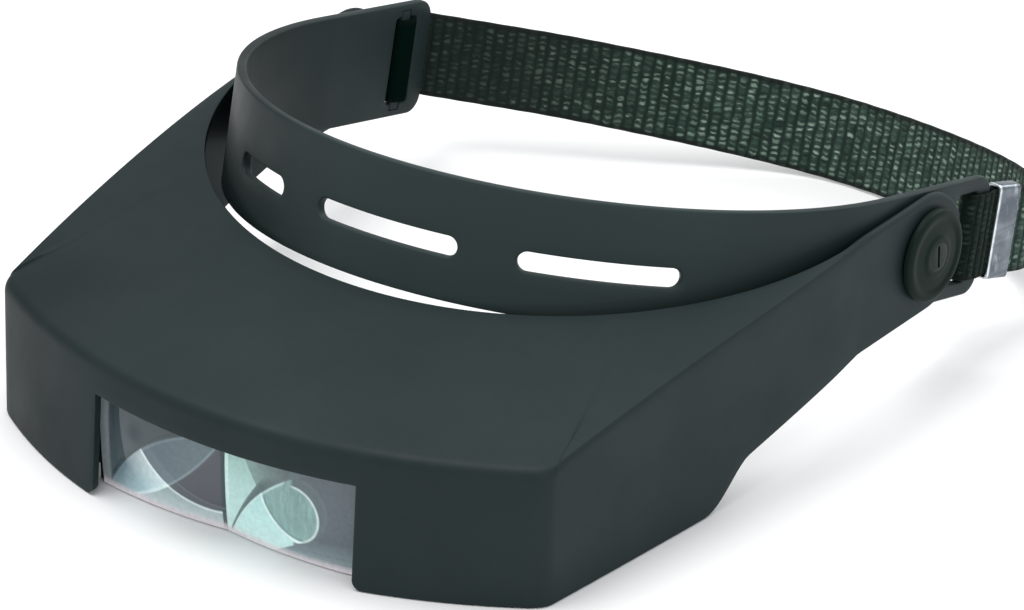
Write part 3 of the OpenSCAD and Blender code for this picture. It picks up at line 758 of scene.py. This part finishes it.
# ------------------------------------------------------------------ strap slide
def build_slide():
    """A strip of sheet bent round both layers, its ends meeting in a seam on the head side."""
    half_width = (4 * LAYER + 0.16) / 2
    half_height = (STRAP_WIDTH + 0.6) / 2 + 0.7
    half_seam = 0.25

    def ring(x, z, radius):
        """From the seam round to the seam, on the head side (x < 0)."""
        corners = rounded_corners(-x, x, -z, z, radius, steps=7, first=2)
        return subdivide([(-x, -half_seam)] + corners + [(-x, half_seam)], 1.2, False)

    def place(points):
        across, z, height = points[:, 0:1], points[:, 1], points[:, 2:3]
        plan = CLIP_CENTRE[None] + FOLD_OUT[None] * across - FOLD_DIR[None] * height
        return tilt_map(np.stack([plan[:, 0], plan[:, 1], z], -1))

    outer = ring(half_width + CLIP_WALL, half_height, 1.15)
    inner = ring(half_width, half_height - CLIP_WALL, 0.55)
    loop = np.array(outer + inner[::-1])  # counter-clockwise
    ob = make("slide_clip", *plate([loop], CLIP_LENGTH, edge=0.16, steps=3,
                                   spacing=(0.9, 0.9), place=place))
    face_outward(ob)
    shade(ob.data, 40)
    return ob


# ------------------------------------------------------------------ material tools
class Shader:
    """A material's node tree; its methods add a node and return the output."""

    def __init__(self, name):
        self.material = bpy.data.materials.new(name)
        self.material.use_nodes = True
        self.tree = self.material.node_tree
        self.tree.nodes.clear()
        self.output = self.node("ShaderNodeOutputMaterial")
        self.bsdf = self.node("ShaderNodeBsdfPrincipled")
        self.link(self.bsdf.outputs[0], self.output.inputs[0])
        self.coords = self.node("ShaderNodeTexCoord").outputs

    def node(self, kind, **settings):
        node = self.tree.nodes.new(kind)
        for key, value in settings.items():
            setattr(node, key, value)
        return node

    def link(self, source, socket):
        self.tree.links.new(source, socket)

    def put(self, socket, value):
        """Sets a number or colour, or links an output."""
        if isinstance(value, (int, float)):
            socket.default_value = value
        elif isinstance(value, tuple):
            socket.default_value = (*value, 1) if socket.type == "RGBA" else value
        else:
            self.link(value, socket)

    def set(self, values, node=None):
        """Fills named inputs of the main shader, or of another node."""
        for name, value in values.items():
            self.put((node or self.bsdf).inputs[name], value)

    def noise(self, scale, detail=2, rough=0.5, vector=None):
        node = self.node("ShaderNodeTexNoise")
        self.set({"Scale": scale, "Detail": detail, "Roughness": rough,
                  "Vector": vector or self.coords["Object"]}, node)
        return node.outputs["Fac"]

    def ramp(self, value, low, high, to=(0.0, 1.0)):
        """Carries low..high to the range in to, clamped."""
        node = self.node("ShaderNodeMapRange")
        for socket, number in zip(node.inputs, (value, low, high, *to)):
            self.put(socket, number)
        return node.outputs[0]

    def math(self, operation, a, b=0.0):
        node = self.node("ShaderNodeMath", operation=operation)
        for socket, number in zip(node.inputs, (a, b, 0.0)):
            self.put(socket, number)
        return node.outputs[0]

    def mul(self, first, *rest):
        for value in rest:
            first = self.math("MULTIPLY", first, value)
        return first

    def add(self, first, *rest):
        for value in rest:
            first = self.math("ADD", first, value)
        return first

    def sub(self, a, b):
        return self.math("SUBTRACT", a, b)

    def mix(self, factor, a, b):
        node = self.node("ShaderNodeMix", data_type="RGBA")
        for index, value in ((0, factor), (6, a), (7, b)):
            self.put(node.inputs[index], value)
        return node.outputs[2]

    def bump(self, height, strength, distance, normal=None):
        node = self.node("ShaderNodeBump")
        self.set({"Strength": strength, "Distance": distance, "Height": height}, node)
        if normal is not None:
            self.link(normal, node.inputs["Normal"])
        return node.outputs[0]

    def stretched(self, *scale):
        node = self.node("ShaderNodeMapping")
        self.set({"Scale": scale, "Vector": self.coords["Object"]}, node)
        return node.outputs[0]

    def split(self, name="Object"):
        """The x, y and z of a texture coordinate."""
        node = self.node("ShaderNodeSeparateXYZ")
        self.link(self.coords[name], node.inputs[0])
        return node.outputs

    def edges(self, radius):
        """1 on edges, 0 on flat faces."""
        bevel = self.node("ShaderNodeBevel", samples=4)
        bevel.inputs["Radius"].default_value = radius
        geometry = self.node("ShaderNodeNewGeometry")
        dot = self.node("ShaderNodeVectorMath", operation="DOT_PRODUCT")
        self.link(bevel.outputs[0], dot.inputs[0])
        self.link(geometry.outputs["Normal"], dot.inputs[1])
        return self.ramp(self.sub(1.0, dot.outputs["Value"]), 0.02, 0.22)


def scaled(color, factor, lift=0.0):
    return tuple(c * factor + lift for c in color)


def srgb(*channels):
    """0-255 display values to linear colour."""
    return tuple(c / 255 / 12.92 if c <= 10.3 else ((c / 255 + 0.055) / 1.055) ** 2.4
                 for c in channels)


def along_clip(m, x, y, z):
    """Distance along the strap from the clip's middle, in mm, from object coordinates."""
    back = m.sub(m.mul(y, 1000 * math.cos(TILT)), m.mul(z, 1000 * math.sin(TILT)))
    return m.add(m.mul(m.sub(m.mul(x, 1000.0), CLIP_CENTRE[0]), math.sin(LEAN)),
                 m.mul(m.sub(back, CLIP_CENTRE[1]), math.cos(LEAN)))


# ------------------------------------------------------------------ materials
def plastic(name, base, light, rough, grain, edge_wear_and_highlight, spec, edge_wear_and_highlight_color=None, painted_shading=None):
    """Moulded plastic: clouded between two tones, specked; edges paler from wear and painted
    highlight.
    """
    m = Shader(name)
    color = m.mix(m.ramp(m.noise(26, 3, 0.55), 0.3, 0.7), base, light)
    mottle = m.ramp(m.noise(210, 3, 0.6), 0.45, 0.75, to=(0, 0.25))
    color = m.mix(mottle, color, scaled(base, 0.82))
    dust = m.ramp(m.noise(1500, 2, 0.7), 0.70, 0.80, to=(0, 0.22))
    color = m.mix(dust, color, scaled(light, 1.9, 0.01))
    # paler edges: wear, and a painted highlight along them
    edge = m.edges(0.0006)
    patches = m.ramp(m.noise(130, 4, 0.65), 0.35, 0.7)
    color = m.mix(m.mul(edge, patches, edge_wear_and_highlight), color, edge_wear_and_highlight_color or scaled(light, 2.2, 0.02))
    # painted light and shade laid over the colour, for the materials given it
    if painted_shading:
        color = painted_shading(m, color)
    sheen = m.ramp(m.noise(60, 4, 0.6), 0.3, 0.7, to=(rough - 0.05, rough + 0.07))
    # spark-eroded mould grain over a slow waviness
    cells = m.node("ShaderNodeTexVoronoi", feature="F1")
    m.set({"Scale": 2600, "Vector": m.coords["Object"]}, cells)
    pits = m.ramp(cells.outputs["Distance"], 0.0, 0.6)
    height = m.add(m.mul(pits, 0.6), m.mul(m.noise(3600, 3, 0.6), 0.7))
    grained = m.bump(height, strength=0.16 * grain, distance=0.00006)
    m.set({
        "Base Color": color,
        "Roughness": m.sub(sheen, m.mul(edge, 0.08)),
        "Normal": m.bump(m.noise(18), strength=0.06, distance=0.002, normal=grained),
        "Specular IOR Level": spec,
    })
    return m.material


def hood_painted_shade(m, color):
    """Painted shade: a little deeper towards -X, and on the -X part of the front wall."""
    painted_shade_tone = (0.0015, 0.0030, 0.0032)
    x, y, _ = m.split()
    color = m.mix(m.mul(m.ramp(x, -0.020, -0.078), 0.16), color, painted_shade_tone)
    front = m.ramp(y, -0.108, -0.121)
    return m.mix(m.mul(m.ramp(x, -0.034, -0.062), front, 0.32), color, painted_shade_tone)


def band_painted_light_and_shade(m, color):
    """Painted light across the brow, painted shade round the -X front curve."""
    pale, painted_shade_tone = (0.0262, 0.0402, 0.0396), (0.0015, 0.0032, 0.0032)
    x, y, _ = m.split()
    curve = m.mul(m.ramp(x, -0.020, -0.042), m.ramp(y, -0.006, -0.030))
    brow = m.mul(m.ramp(y, -0.028, -0.060), m.ramp(x, -0.028, -0.006))
    color = m.mix(m.mul(brow, 0.92), color, pale)
    return m.mix(m.mul(curve, 0.40), color, painted_shade_tone)


def webbing():
    """Woven strap; the UV map holds millimetres along and across it."""
    m = Shader("webbing_weave")
    u, v, _ = m.split("UV")
    warp = m.ramp(m.noise(240), 0.3, 0.7, to=(-0.07, 0.07))
    ribs = m.add(m.math("DIVIDE", u, RIB_PITCH), warp)
    rib = m.math("FLOOR", ribs)
    off_crest = m.math("ABSOLUTE", m.sub(m.mul(m.math("FRACT", ribs), 2.0), 1.0))
    crest = m.sub(1.0, m.math("POWER", off_crest, 1.6))

    def per_rib(step, across, detail):
        """Noise that jumps by step from rib to rib and is scaled by across along each."""
        place = m.node("ShaderNodeCombineXYZ")
        m.set({"X": m.mul(rib, step), "Y": m.add(m.mul(v, across), m.mul(rib, 0.5)),
               "Z": m.mul(u, 0.12)}, place)
        return m.noise(1.0, detail, 0.5, place.outputs[0])

    def wave(value, low=-1, high=1):
        return m.ramp(m.math("SINE", value), low, high)

    tone = per_rib(step=3.7, across=0.16, detail=2)
    blob = per_rib(step=5.3, across=0.46, detail=1)
    spark = per_rib(step=9.1, across=0.75, detail=0)
    row = m.add(m.math("DIVIDE", v, 1.40), m.mul(rib, 0.5),
                m.ramp(m.noise(620, 1), 0.3, 0.7, to=(-0.22, 0.22)))
    knot = wave(m.mul(row, 2 * pi), -0.55, 0.75)
    yarn = wave(m.mul(v, 2 * pi / 0.42))
    twist = wave(m.add(m.mul(u, 2 * pi / 0.34), m.mul(v, 9.0)))
    fibre = m.noise(5200, 2, 0.7)
    soft = m.add(crest, m.ramp(m.noise(520, 1), 0.35, 0.65, to=(-0.16, 0.16)))

    # painted shade in the grooves and between the knots, then painted light and painted glints on
    # the yarns of the crests
    groove = m.mix(m.ramp(tone, 0.35, 0.65), (0.0060, 0.0165, 0.0120), (0.0135, 0.0320, 0.0240))
    body = m.mix(m.ramp(tone, 0.32, 0.66), (0.0180, 0.0430, 0.0320), (0.0560, 0.1020, 0.0800))
    color = m.mix(m.ramp(soft, 0.22, 0.82), groove, body)
    color = m.mix(m.mul(m.sub(1.0, knot), 0.50), color, (0.0105, 0.0260, 0.0195))
    lit = m.mul(m.ramp(soft, 0.38, 0.85), m.ramp(blob, 0.42, 0.64), m.ramp(knot, 0.1, 0.85),
                m.ramp(yarn, 0.0, 0.8, to=(0.75, 1.0)), 0.95)
    color = m.mix(lit, color, (0.215, 0.295, 0.240))
    glint = m.mul(m.ramp(spark, 0.58, 0.72), m.ramp(soft, 0.65, 1.0), m.ramp(knot, 0.3, 1.0), 0.9)
    color = m.mix(glint, color, (0.33, 0.40, 0.34))
    # painted shade in gaps along the crests
    gap = m.mul(m.ramp(per_rib(step=2.3, across=0.7, detail=2), 0.44, 0.36),
                m.ramp(crest, 0.2, 0.7), 0.7)
    color = m.mix(gap, color, (0.0050, 0.0130, 0.0095))

    # painted shade towards -X and in the slots; darker along both woven edges
    x, y, z = m.split()
    color = m.mix(m.ramp(x, -0.016, -0.062, to=(0.0, 0.84)), color, (0.0040, 0.0105, 0.0075))
    hem_slot_shade = m.mul(m.ramp(x, -0.070, -0.0735), m.ramp(y, 0.0245, 0.0225))
    run_shade = m.mul(m.ramp(x, 0.068, 0.071),
                m.ramp(along_clip(m, x, y, z), -1.6, -3.4, to=(0.0, 0.90)))
    color = m.mix(hem_slot_shade, color, (0.0016, 0.0074, 0.0055))
    color = m.mix(run_shade, color, (0.0018, 0.0056, 0.0040))
    # sheen and specular are held back under the painted shade
    outside_painted_shade = m.sub(1.0, m.add(hem_slot_shade, m.mul(run_shade, 0.7)))
    selvedge = m.ramp(m.math("ABSOLUTE", v), 8.55, 9.15, to=(0, 0.88))
    color = m.mix(selvedge, color, (0.0042, 0.0078, 0.0064))

    height = m.add(m.mul(yarn, 0.6), m.mul(twist, 0.35), m.mul(fibre, 0.4), m.mul(crest, 2.2))
    m.set({
        "Base Color": color,
        "Roughness": m.ramp(fibre, 0.2, 0.8, to=(0.62, 0.9)),
        "Normal": m.bump(height, strength=0.6, distance=0.00016),
        "Sheen Weight": m.mul(outside_painted_shade, 0.10),
        "Sheen Roughness": 0.45,
        "Sheen Tint": (0.62, 0.74, 0.66),
        "Specular IOR Level": m.mul(outside_painted_shade, 0.18),
    })
    return m.material


def metal(name, base, cloudy, rough, brush):
    """Brushed metal, clouded between two tones; brush is the noise scale along x, y and z."""
    m = Shader(name)
    brushed = m.noise(1.0, 4, 0.6, m.stretched(*brush))
    color = m.mix(m.ramp(m.noise(120, 3), 0.3, 0.7), base, cloudy)
    color = m.mix(m.ramp(brushed, 0.35, 0.75, to=(0, 0.3)), color, scaled(base, 0.7))
    color = m.mix(m.mul(m.edges(0.0004), 0.2), color, (0.95, 0.96, 0.97))
    m.set({
        "Base Color": color,
        "Metallic": 1.0,
        "Roughness": m.ramp(brushed, 0.25, 0.75, to=(rough * 0.7, rough * 1.35)),
        "Normal": m.bump(brushed, strength=0.12, distance=0.00004),
    })
    return m.material


def slide_plate():
    """Plated steel strip: brushed face, painted highlight along its front edge and its folds,
    painted shade at its back end.
    """
    m = Shader("slide_plate")
    along = along_clip(m, *m.split())
    brushed = m.noise(1.0, 4, 0.6, m.stretched(60, 60, 900))
    cloud = m.noise(150, 4, 0.6)
    scratch = m.noise(1.0, 3, 0.7, m.stretched(900, 300, 90))
    color = m.mix(m.ramp(cloud, 0.35, 0.65), (0.118, 0.136, 0.160), (0.255, 0.285, 0.318))
    color = m.mix(m.ramp(brushed, 0.40, 0.75, to=(0, 0.45)), color, (0.080, 0.092, 0.112))
    color = m.mix(m.ramp(scratch, 0.58, 0.70, to=(0, 0.6)), color, (0.50, 0.54, 0.58))
    # painted highlight along the front edge, broken up by noise
    front_edge_highlight = m.mul(m.ramp(along, -2.55, -2.95),
                m.ramp(m.noise(420, 3, 0.6), 0.25, 0.55, to=(0.45, 1.0)))
    color = m.mix(front_edge_highlight, color, (0.78, 0.84, 0.86))
    # painted shade towards the back end
    color = m.mix(m.ramp(along, 2.0, 3.2, to=(0.0, 0.5)), color, (0.100, 0.115, 0.150))
    # painted highlight on the folds and edges
    color = m.mix(m.mul(m.edges(0.0004), 0.75), color, (0.86, 0.90, 0.92))
    height = m.add(brushed, m.mul(cloud, 0.6))
    m.set({
        "Base Color": color,
        "Metallic": 0.9,
        "Roughness": m.ramp(brushed, 0.25, 0.75, to=(0.26, 0.48)),
        "Normal": m.bump(height, strength=0.25, distance=0.00006),
    })
    return m.material


def painted_lens_view(m):
    """Painted reflections and view through the glass as curved pale and dark facets, drawn in
    millimetres of object x and z.
    """
    object_x, _, object_z = m.split()
    wobble = m.ramp(m.noise(45), 0, 1, to=(-0.35, 0.35))
    x = m.add(m.mul(object_x, 1000.0), wobble)
    z = m.add(m.mul(object_z, 1000.0), wobble)

    def disc(centre_x, centre_z, radius):
        """Millimetres inside a circle."""
        dx, dz = m.sub(x, centre_x), m.sub(z, centre_z)
        return m.sub(radius, m.math("SQRT", m.add(m.mul(dx, dx), m.mul(dz, dz))))

    def line(p, q):
        """Millimetres to the left of the line from p to q."""
        length = math.dist(p, q)
        nx, nz = -(q[1] - p[1]) / length, (q[0] - p[0]) / length
        return m.sub(m.add(m.mul(x, nx), m.mul(z, nz)), p[0] * nx + p[1] * nz)

    def on(distance):
        return m.ramp(distance, -0.16, 0.16)

    def off(distance, blur=0.16):
        return m.ramp(distance, blur, -blur)

    def near(value, width, gain, inner=0.0):
        """gain where the value is within inner of zero, fading out at width."""
        return m.ramp(m.math("ABSOLUTE", value), width, inner, to=(0.0, gain))

    white = srgb(238, 250, 250)

    # -X lens: three circles part it into five facets
    low, high, flank = disc(3.2, -49.4, 40.25), disc(-4.1, -4.5, 22.66), disc(-48.8, 21.8, 57.75)
    outside = m.mix(m.ramp(z, -12, -30), srgb(58, 70, 75), srgb(84, 98, 102))
    outside = m.mix(m.ramp(disc(-24.2, -15.2, 3.2), 0.0, 2.4, to=(0, 0.85)), outside,
                    srgb(20, 38, 52))
    high_flank = m.mix(m.ramp(x, -24, -6), srgb(80, 93, 106), srgb(100, 118, 124))
    low_flank = m.mix(m.ramp(m.sub(x, z), -4.0, 12.0), srgb(96, 116, 126), srgb(190, 226, 232))
    low_flank = m.mix(m.ramp(high, -7.0, 0.0, to=(0.0, 0.55)), low_flank, white)
    high_only = m.mix(m.ramp(z, -14, -27), srgb(78, 82, 90), srgb(70, 72, 82))
    low_only = m.mix(m.ramp(z, -24.5, -31.0), srgb(132, 156, 156), srgb(196, 210, 212))
    minus = m.mix(on(low), outside, m.mix(on(high), m.mix(on(flank), low_only, low_flank),
                                          m.mix(on(flank), high_only, high_flank)))
    # painted light and dark lines along the circles
    minus = m.mix(m.mul(on(low), near(m.add(high, 0.35), 0.45, 0.75), off(high, 0.3)),
                  minus, white)
    minus = m.mix(m.mul(on(high), near(m.sub(flank, 0.3), 0.4, 0.35)), minus,
                  srgb(170, 190, 192))
    minus = m.mix(m.mul(on(low), off(high), near(m.sub(flank, 0.4), 0.6, 0.6)), minus, white)
    minus = m.mix(near(m.sub(low, 0.3), 0.5, 0.30), minus, srgb(150, 172, 180))
    minus = m.mix(near(m.add(low, 0.6), 0.6, 0.55), minus, srgb(36, 48, 54))
    minus = m.mix(m.ramp(x, -31.6, -32.5, to=(0, 0.75)), minus, srgb(150, 160, 164))

    # +X lens, painted: plain glass, a pale side by the joint and an oval in two tones
    wide, broad = disc(69.1, -62.3, 75.2), disc(37.6, -47.5, 39.9)
    small, split = disc(19.06, -20.45, 6.77), disc(21.9, -15.1, 11.5)
    foot = line((12.4, -31.7), (20.8, -27.0))
    plain = m.mix(m.ramp(z, -24.5, -30.5), srgb(86, 97, 104), srgb(134, 152, 156))
    bands = m.ramp(m.math("SINE", m.mul(m.sub(z, m.mul(x, 0.05)), 4.2)), 0.2, 1, to=(0, 0.25))
    plain = m.mix(m.mul(bands, m.ramp(z, -24, -28)), plain, srgb(96, 112, 118))
    top = m.mix(m.ramp(x, 8, 17), srgb(122, 148, 145), srgb(92, 106, 110))
    plus = m.mix(off(broad), plain, top)
    plus = m.mix(m.mul(off(broad), on(wide), m.ramp(z, -13.5, -16.5)), plus, srgb(78, 98, 98))
    pale = m.mix(m.ramp(z, -12, -30), srgb(158, 196, 190), srgb(206, 238, 234))
    plus = m.mix(m.mul(off(wide), on(line((9.2, -16.8), (6.6, -12.6)))), plus, pale)
    oval = m.mul(on(broad), on(foot), m.math("MAXIMUM", on(small), m.ramp(x, 19.3, 18.6)))
    lower = m.mix(m.ramp(z, -19, -30), srgb(176, 220, 216), srgb(208, 242, 238))
    streak = m.ramp(m.noise(1.0, 3, 0.6, m.stretched(900, 900, 160)), 0.35, 0.7)
    upper = m.mix(streak, srgb(116, 150, 147), srgb(142, 176, 172))
    plus = m.mix(oval, plus, m.mix(on(split), lower, upper))
    plus = m.mix(m.mul(oval, near(m.add(split, 0.35), 0.45, 0.8), off(split, 0.3)), plus, white)
    plus = m.mix(m.mul(oval, near(m.sub(split, 0.35), 0.45, 0.6)), plus, srgb(84, 112, 110))
    plus = m.mix(m.mul(on(broad), m.ramp(x, 18.0, 19.5), near(m.sub(small, 0.3), 0.45, 0.7)),
                 plus, white)
    plus = m.mix(m.mul(on(foot), near(m.sub(broad, 0.3), 0.45, 0.6), m.ramp(x, 17.4, 16.2)),
                 plus, srgb(214, 240, 238))
    plus = m.mix(m.ramp(x, 35.6, 36.2, to=(0, 0.6)), plus, srgb(150, 160, 162))

    # painted dark and light lines at the joint between the lenses, and a painted highlight on
    # their polished lower edge
    color = m.mix(m.ramp(x, -0.1, 0.1), minus, plus)
    color = m.mix(near(m.add(x, 0.55), 0.6, 1.0, inner=0.35), color, srgb(40, 60, 66))
    color = m.mix(near(m.sub(x, 0.55), 0.65, 1.0, inner=0.35), color, srgb(206, 236, 232))
    color = m.mix(m.ramp(z, -29.3, -30.9, to=(0, 0.9)), color, srgb(226, 216, 222))
    value = m.node("ShaderNodeHueSaturation")
    m.set({"Value": m.ramp(m.noise(900, 3, 0.6), 0.3, 0.7, to=(0.90, 1.08)), "Color": color},
          value)
    return value.outputs[0]


def lens_acrylic():
    """Clear acrylic; what it magnifies and mirrors inside is painted on as facets."""
    m = Shader("lens_acrylic")
    color = painted_lens_view(m)
    m.set({
        "Base Color": color,
        "Roughness": m.ramp(m.noise(240, 3, 0.6), 0.3, 0.8, to=(0.04, 0.10)),
        "Normal": m.bump(m.noise(35), strength=0.03, distance=0.0004),
        "Specular IOR Level": 0.5,
        # a faint glow of the painted colour: painted light
        "Emission Color": color,
        "Emission Strength": 0.22,
    })
    glass = m.node("ShaderNodeBsdfPrincipled")
    haze = m.ramp(m.noise(90, 3), 0.3, 0.7)
    m.set({
        "Transmission Weight": 1.0,
        "IOR": 1.49,
        "Base Color": m.mix(haze, (0.86, 0.97, 0.96), (0.80, 0.94, 0.94)),
        "Roughness": m.ramp(m.noise(240, 3, 0.6), 0.3, 0.8, to=(0.0, 0.05)),
    }, glass)
    # faces towards front and back show the painted facets, the ground edges stay clear
    _, normal_y, _ = m.split("Normal")
    facing = m.ramp(m.math("ABSOLUTE", normal_y), 0.5, 0.8, to=(0.15, 0.80))
    mixer = m.node("ShaderNodeMixShader")
    for socket, source in zip(mixer.inputs, (facing, glass.outputs[0], m.bsdf.outputs[0])):
        m.link(source, socket)
    m.link(mixer.outputs[0], m.output.inputs[0])
    return m.material


def pressed_fibre():
    m = Shader("pressed_fibre")
    felt = m.noise(1800, 4, 0.7)
    m.set({
        "Base Color": m.mix(m.ramp(felt, 0.3, 0.7), (0.10, 0.055, 0.035), (0.24, 0.14, 0.08)),
        "Roughness": m.ramp(felt, 0.3, 0.7, to=(0.75, 0.95)),
        "Normal": m.bump(felt, strength=0.4, distance=0.0001),
    })
    return m.material


def floor_paper():
    m = Shader("floor_paper")
    m.set({
        "Base Color": m.mix(m.ramp(m.noise(3), 0.3, 0.7), (0.86,) * 3, (0.90,) * 3),
        "Roughness": 0.9,
        "Specular IOR Level": 0.1,
    })
    return m.material


# hood and band colours take painted light and shade from their last argument
HOOD = plastic("hood_plastic", (0.0125, 0.0222, 0.0232), (0.0158, 0.0268, 0.0282),
               rough=0.52, grain=1.0, edge_wear_and_highlight=0.32, spec=0.15, painted_shading=hood_painted_shade)
BAND = plastic("band_plastic", (0.0135, 0.0236, 0.0236), (0.0172, 0.0284, 0.0288),
               rough=0.49, grain=0.8, edge_wear_and_highlight=0.35, spec=0.15, painted_shading=band_painted_light_and_shade)
KNOB = plastic("knob_plastic", (0.0052, 0.0126, 0.0092), (0.0080, 0.0172, 0.0130),
               rough=0.50, grain=0.7, edge_wear_and_highlight=0.35, spec=0.08)
FRAME = plastic("frame_plastic", (0.0035, 0.0065, 0.0062), (0.0065, 0.0100, 0.0098),
                rough=0.5, grain=1.0, edge_wear_and_highlight=0.3, spec=0.15)
SCREW = plastic("black_screw", (0.0040, 0.0105, 0.0072), (0.0075, 0.0155, 0.0112),
                rough=0.44, grain=0.4, edge_wear_and_highlight=0.6, spec=0.14, edge_wear_and_highlight_color=(0.10, 0.14, 0.12))
ANCHOR = plastic("anchor_bar", (0.0120, 0.0210, 0.0212), (0.0155, 0.0255, 0.0262),
                 rough=0.5, grain=0.8, edge_wear_and_highlight=0.2, spec=0.12)
STEEL = metal("plated_steel", (0.60, 0.63, 0.66), scaled((0.60, 0.63, 0.66), 0.86),
              rough=0.26, brush=(30, 30, 2600))
SLIDE = slide_plate()
BRASS = metal("turned_brass", (0.78, 0.58, 0.25), (0.70, 0.50, 0.20),
              rough=0.3, brush=(1800, 40, 40))
LENS = lens_acrylic()
FIBRE = pressed_fibre()
WEBBING = webbing()


# ------------------------------------------------------------------ build
def give(ob, material):
    ob.data.materials.clear()
    ob.data.materials.append(material)


def smooth_group():
    """Geometry nodes that shade smoothly all but the edges sharper than an angle."""
    group = bpy.data.node_groups.new("smooth_by_angle", "GeometryNodeTree")
    sockets = group.interface
    sockets.new_socket("Geometry", in_out="INPUT", socket_type="NodeSocketGeometry")
    angle = sockets.new_socket("Angle", in_out="INPUT", socket_type="NodeSocketFloat")
    angle.default_value = math.radians(30)
    sockets.new_socket("Geometry", in_out="OUTPUT", socket_type="NodeSocketGeometry")
    new, link = group.nodes.new, group.links.new
    source, result = new("NodeGroupInput"), new("NodeGroupOutput")
    edge_angle = new("GeometryNodeInputMeshEdgeAngle")
    compare = new("FunctionNodeCompare")
    compare.data_type = "FLOAT"
    compare.operation = "LESS_THAN"
    faces = new("GeometryNodeSetShadeSmooth")
    faces.domain = "FACE"
    edges = new("GeometryNodeSetShadeSmooth")
    edges.domain = "EDGE"
    link(source.outputs[0], faces.inputs[0])
    link(faces.outputs[0], edges.inputs[0])
    link(edge_angle.outputs[0], compare.inputs[0])
    link(source.outputs[1], compare.inputs[1])
    link(compare.outputs[0], edges.inputs[2])
    link(edges.outputs[0], result.inputs[0])
    return group, angle.identifier


def dress(ob, material, angle, bevel):
    """A CAD node keeps its mesh; it is welded, its edges are broken and it shades smoothly."""
    for name in ("custom_normal", "sharp_face", "sharp_edge"):
        if name in ob.data.attributes:
            ob.data.attributes.remove(ob.data.attributes[name])
    ob.modifiers.new("weld", "WELD").merge_threshold = 2e-6
    if bevel:
        edge = ob.modifiers.new("edge", "BEVEL")
        edge.width = bevel * MM
        edge.segments = 2
        edge.limit_method = "ANGLE"
        edge.angle_limit = math.radians(35)
    smoothing = ob.modifiers.new("smooth", "NODES")
    smoothing.node_group = SMOOTH_GROUP
    smoothing[ANGLE_INPUT] = math.radians(angle)
    give(ob, material)


# builder, part it rides on, CAD node it replaces, slot, material
for build, part, node, slot, material in (
        (build_headband, "headband", "headband", "headband", BAND),
        (build_hood, "hood", "visor_hood", "hood", HOOD),
        (build_strap, "headband", "strap", "webbing", WEBBING),
        (build_slide, "slide", "strap_slide", "slide", SLIDE)):
    piece = build()
    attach(piece, part)
    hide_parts(node)
    give(piece, material)

SMOOTH_GROUP, ANGLE_INPUT = smooth_group()
# CAD node, material, smoothing angle in degrees, bevel in mm
for node, material, angle, bevel in (
        ("lens_left", LENS, 20, 0),
        ("lens_right", LENS, 20, 0),
        ("lens_frame", FRAME, 30, 0.25),
        ("lens_screws", STEEL, 30, 0.08),
        ("tension_knob_left", KNOB, 50, 0),
        ("tension_knob_right", KNOB, 50, 0),
        ("pivot_screw_left", SCREW, 35, 0.08),
        ("pivot_screw_right", SCREW, 35, 0.08),
        ("stud_inserts", BRASS, 35, 0.06),
        ("friction_washers", FIBRE, 35, 0.05),
        ("spring_washers", STEEL, 35, 0.05),
        ("strap_anchor", ANCHOR, 35, 0.12)):
    dress(NODES[node], material, angle, bevel)

# ------------------------------------------------------------------ stage, metres
floor_z = -HOOD_DROP * MM - 0.0001
floor_mesh = bpy.data.meshes.new("floor")
floor_mesh.from_pydata([(x, y, floor_z) for x, y in ((-4, -4), (4, -4), (4, 4), (-4, 4))],
                       [], [(0, 1, 2, 3)])
floor = bpy.data.objects.new("floor", floor_mesh)
scene.collection.objects.link(floor)
floor.data.materials.append(floor_paper())

world = bpy.data.worlds.new("studio")
scene.world = world
world.use_nodes = True
background = world.node_tree.nodes["Background"]
background.inputs["Color"].default_value = (0.97, 0.985, 1.0, 1)
background.inputs["Strength"].default_value = 0.62


def area(name, place, target, size, power, color=(1, 1, 1)):
    """A square light aimed at a target."""
    light = bpy.data.lights.new(name, "AREA")
    light.shape = "RECTANGLE"
    light.size = size
    light.size_y = size
    light.energy = power
    light.color = color
    ob = bpy.data.objects.new(name, light)
    scene.collection.objects.link(ob)
    ob.location = place
    ob.rotation_mode = "QUATERNION"
    ob.rotation_quaternion = (Vector(target) - Vector(place)).to_track_quat("-Z", "Y")


area("key", (-0.26, -0.14, 1.38), target=(0, -0.04, 0), size=0.95, power=16)
area("fill", (1.2, -0.7, 0.55), target=(0, -0.04, 0), size=0.8, power=3.4,
     color=(0.95, 0.98, 1.0))
area("back", (0.3, 1.2, 0.8), target=(0, 0, 0), size=0.7, power=7)

# ------------------------------------------------------------------ camera
AZIMUTH, ELEVATION, ROLL = map(math.radians, (36.952, 27.574, -0.32))
DISTANCE, SHIFT_LEFT, SHIFT_DOWN = 1.5, 0.025662, 0.033646
backward = Vector((math.sin(AZIMUTH) * math.cos(ELEVATION),
                   -math.cos(AZIMUTH) * math.cos(ELEVATION), math.sin(ELEVATION)))
level_right = Vector((math.cos(AZIMUTH), math.sin(AZIMUTH), 0))
level_up = backward.cross(level_right)
right = level_right * math.cos(ROLL) + level_up * math.sin(ROLL)
up = -level_right * math.sin(ROLL) + level_up * math.cos(ROLL)
cam_data = bpy.data.cameras.new("camera")
cam_data.sensor_width = 36
cam_data.lens = 233.834766
cam_data.clip_start = 0.05
cam_data.clip_end = 50
cam = bpy.data.objects.new("camera", cam_data)
scene.collection.objects.link(cam)
cam.matrix_world = Matrix((right, up, backward)).transposed().to_4x4()
cam.location = backward * DISTANCE - right * SHIFT_LEFT - up * SHIFT_DOWN
scene.camera = cam
scene.view_settings.view_transform = "Standard"
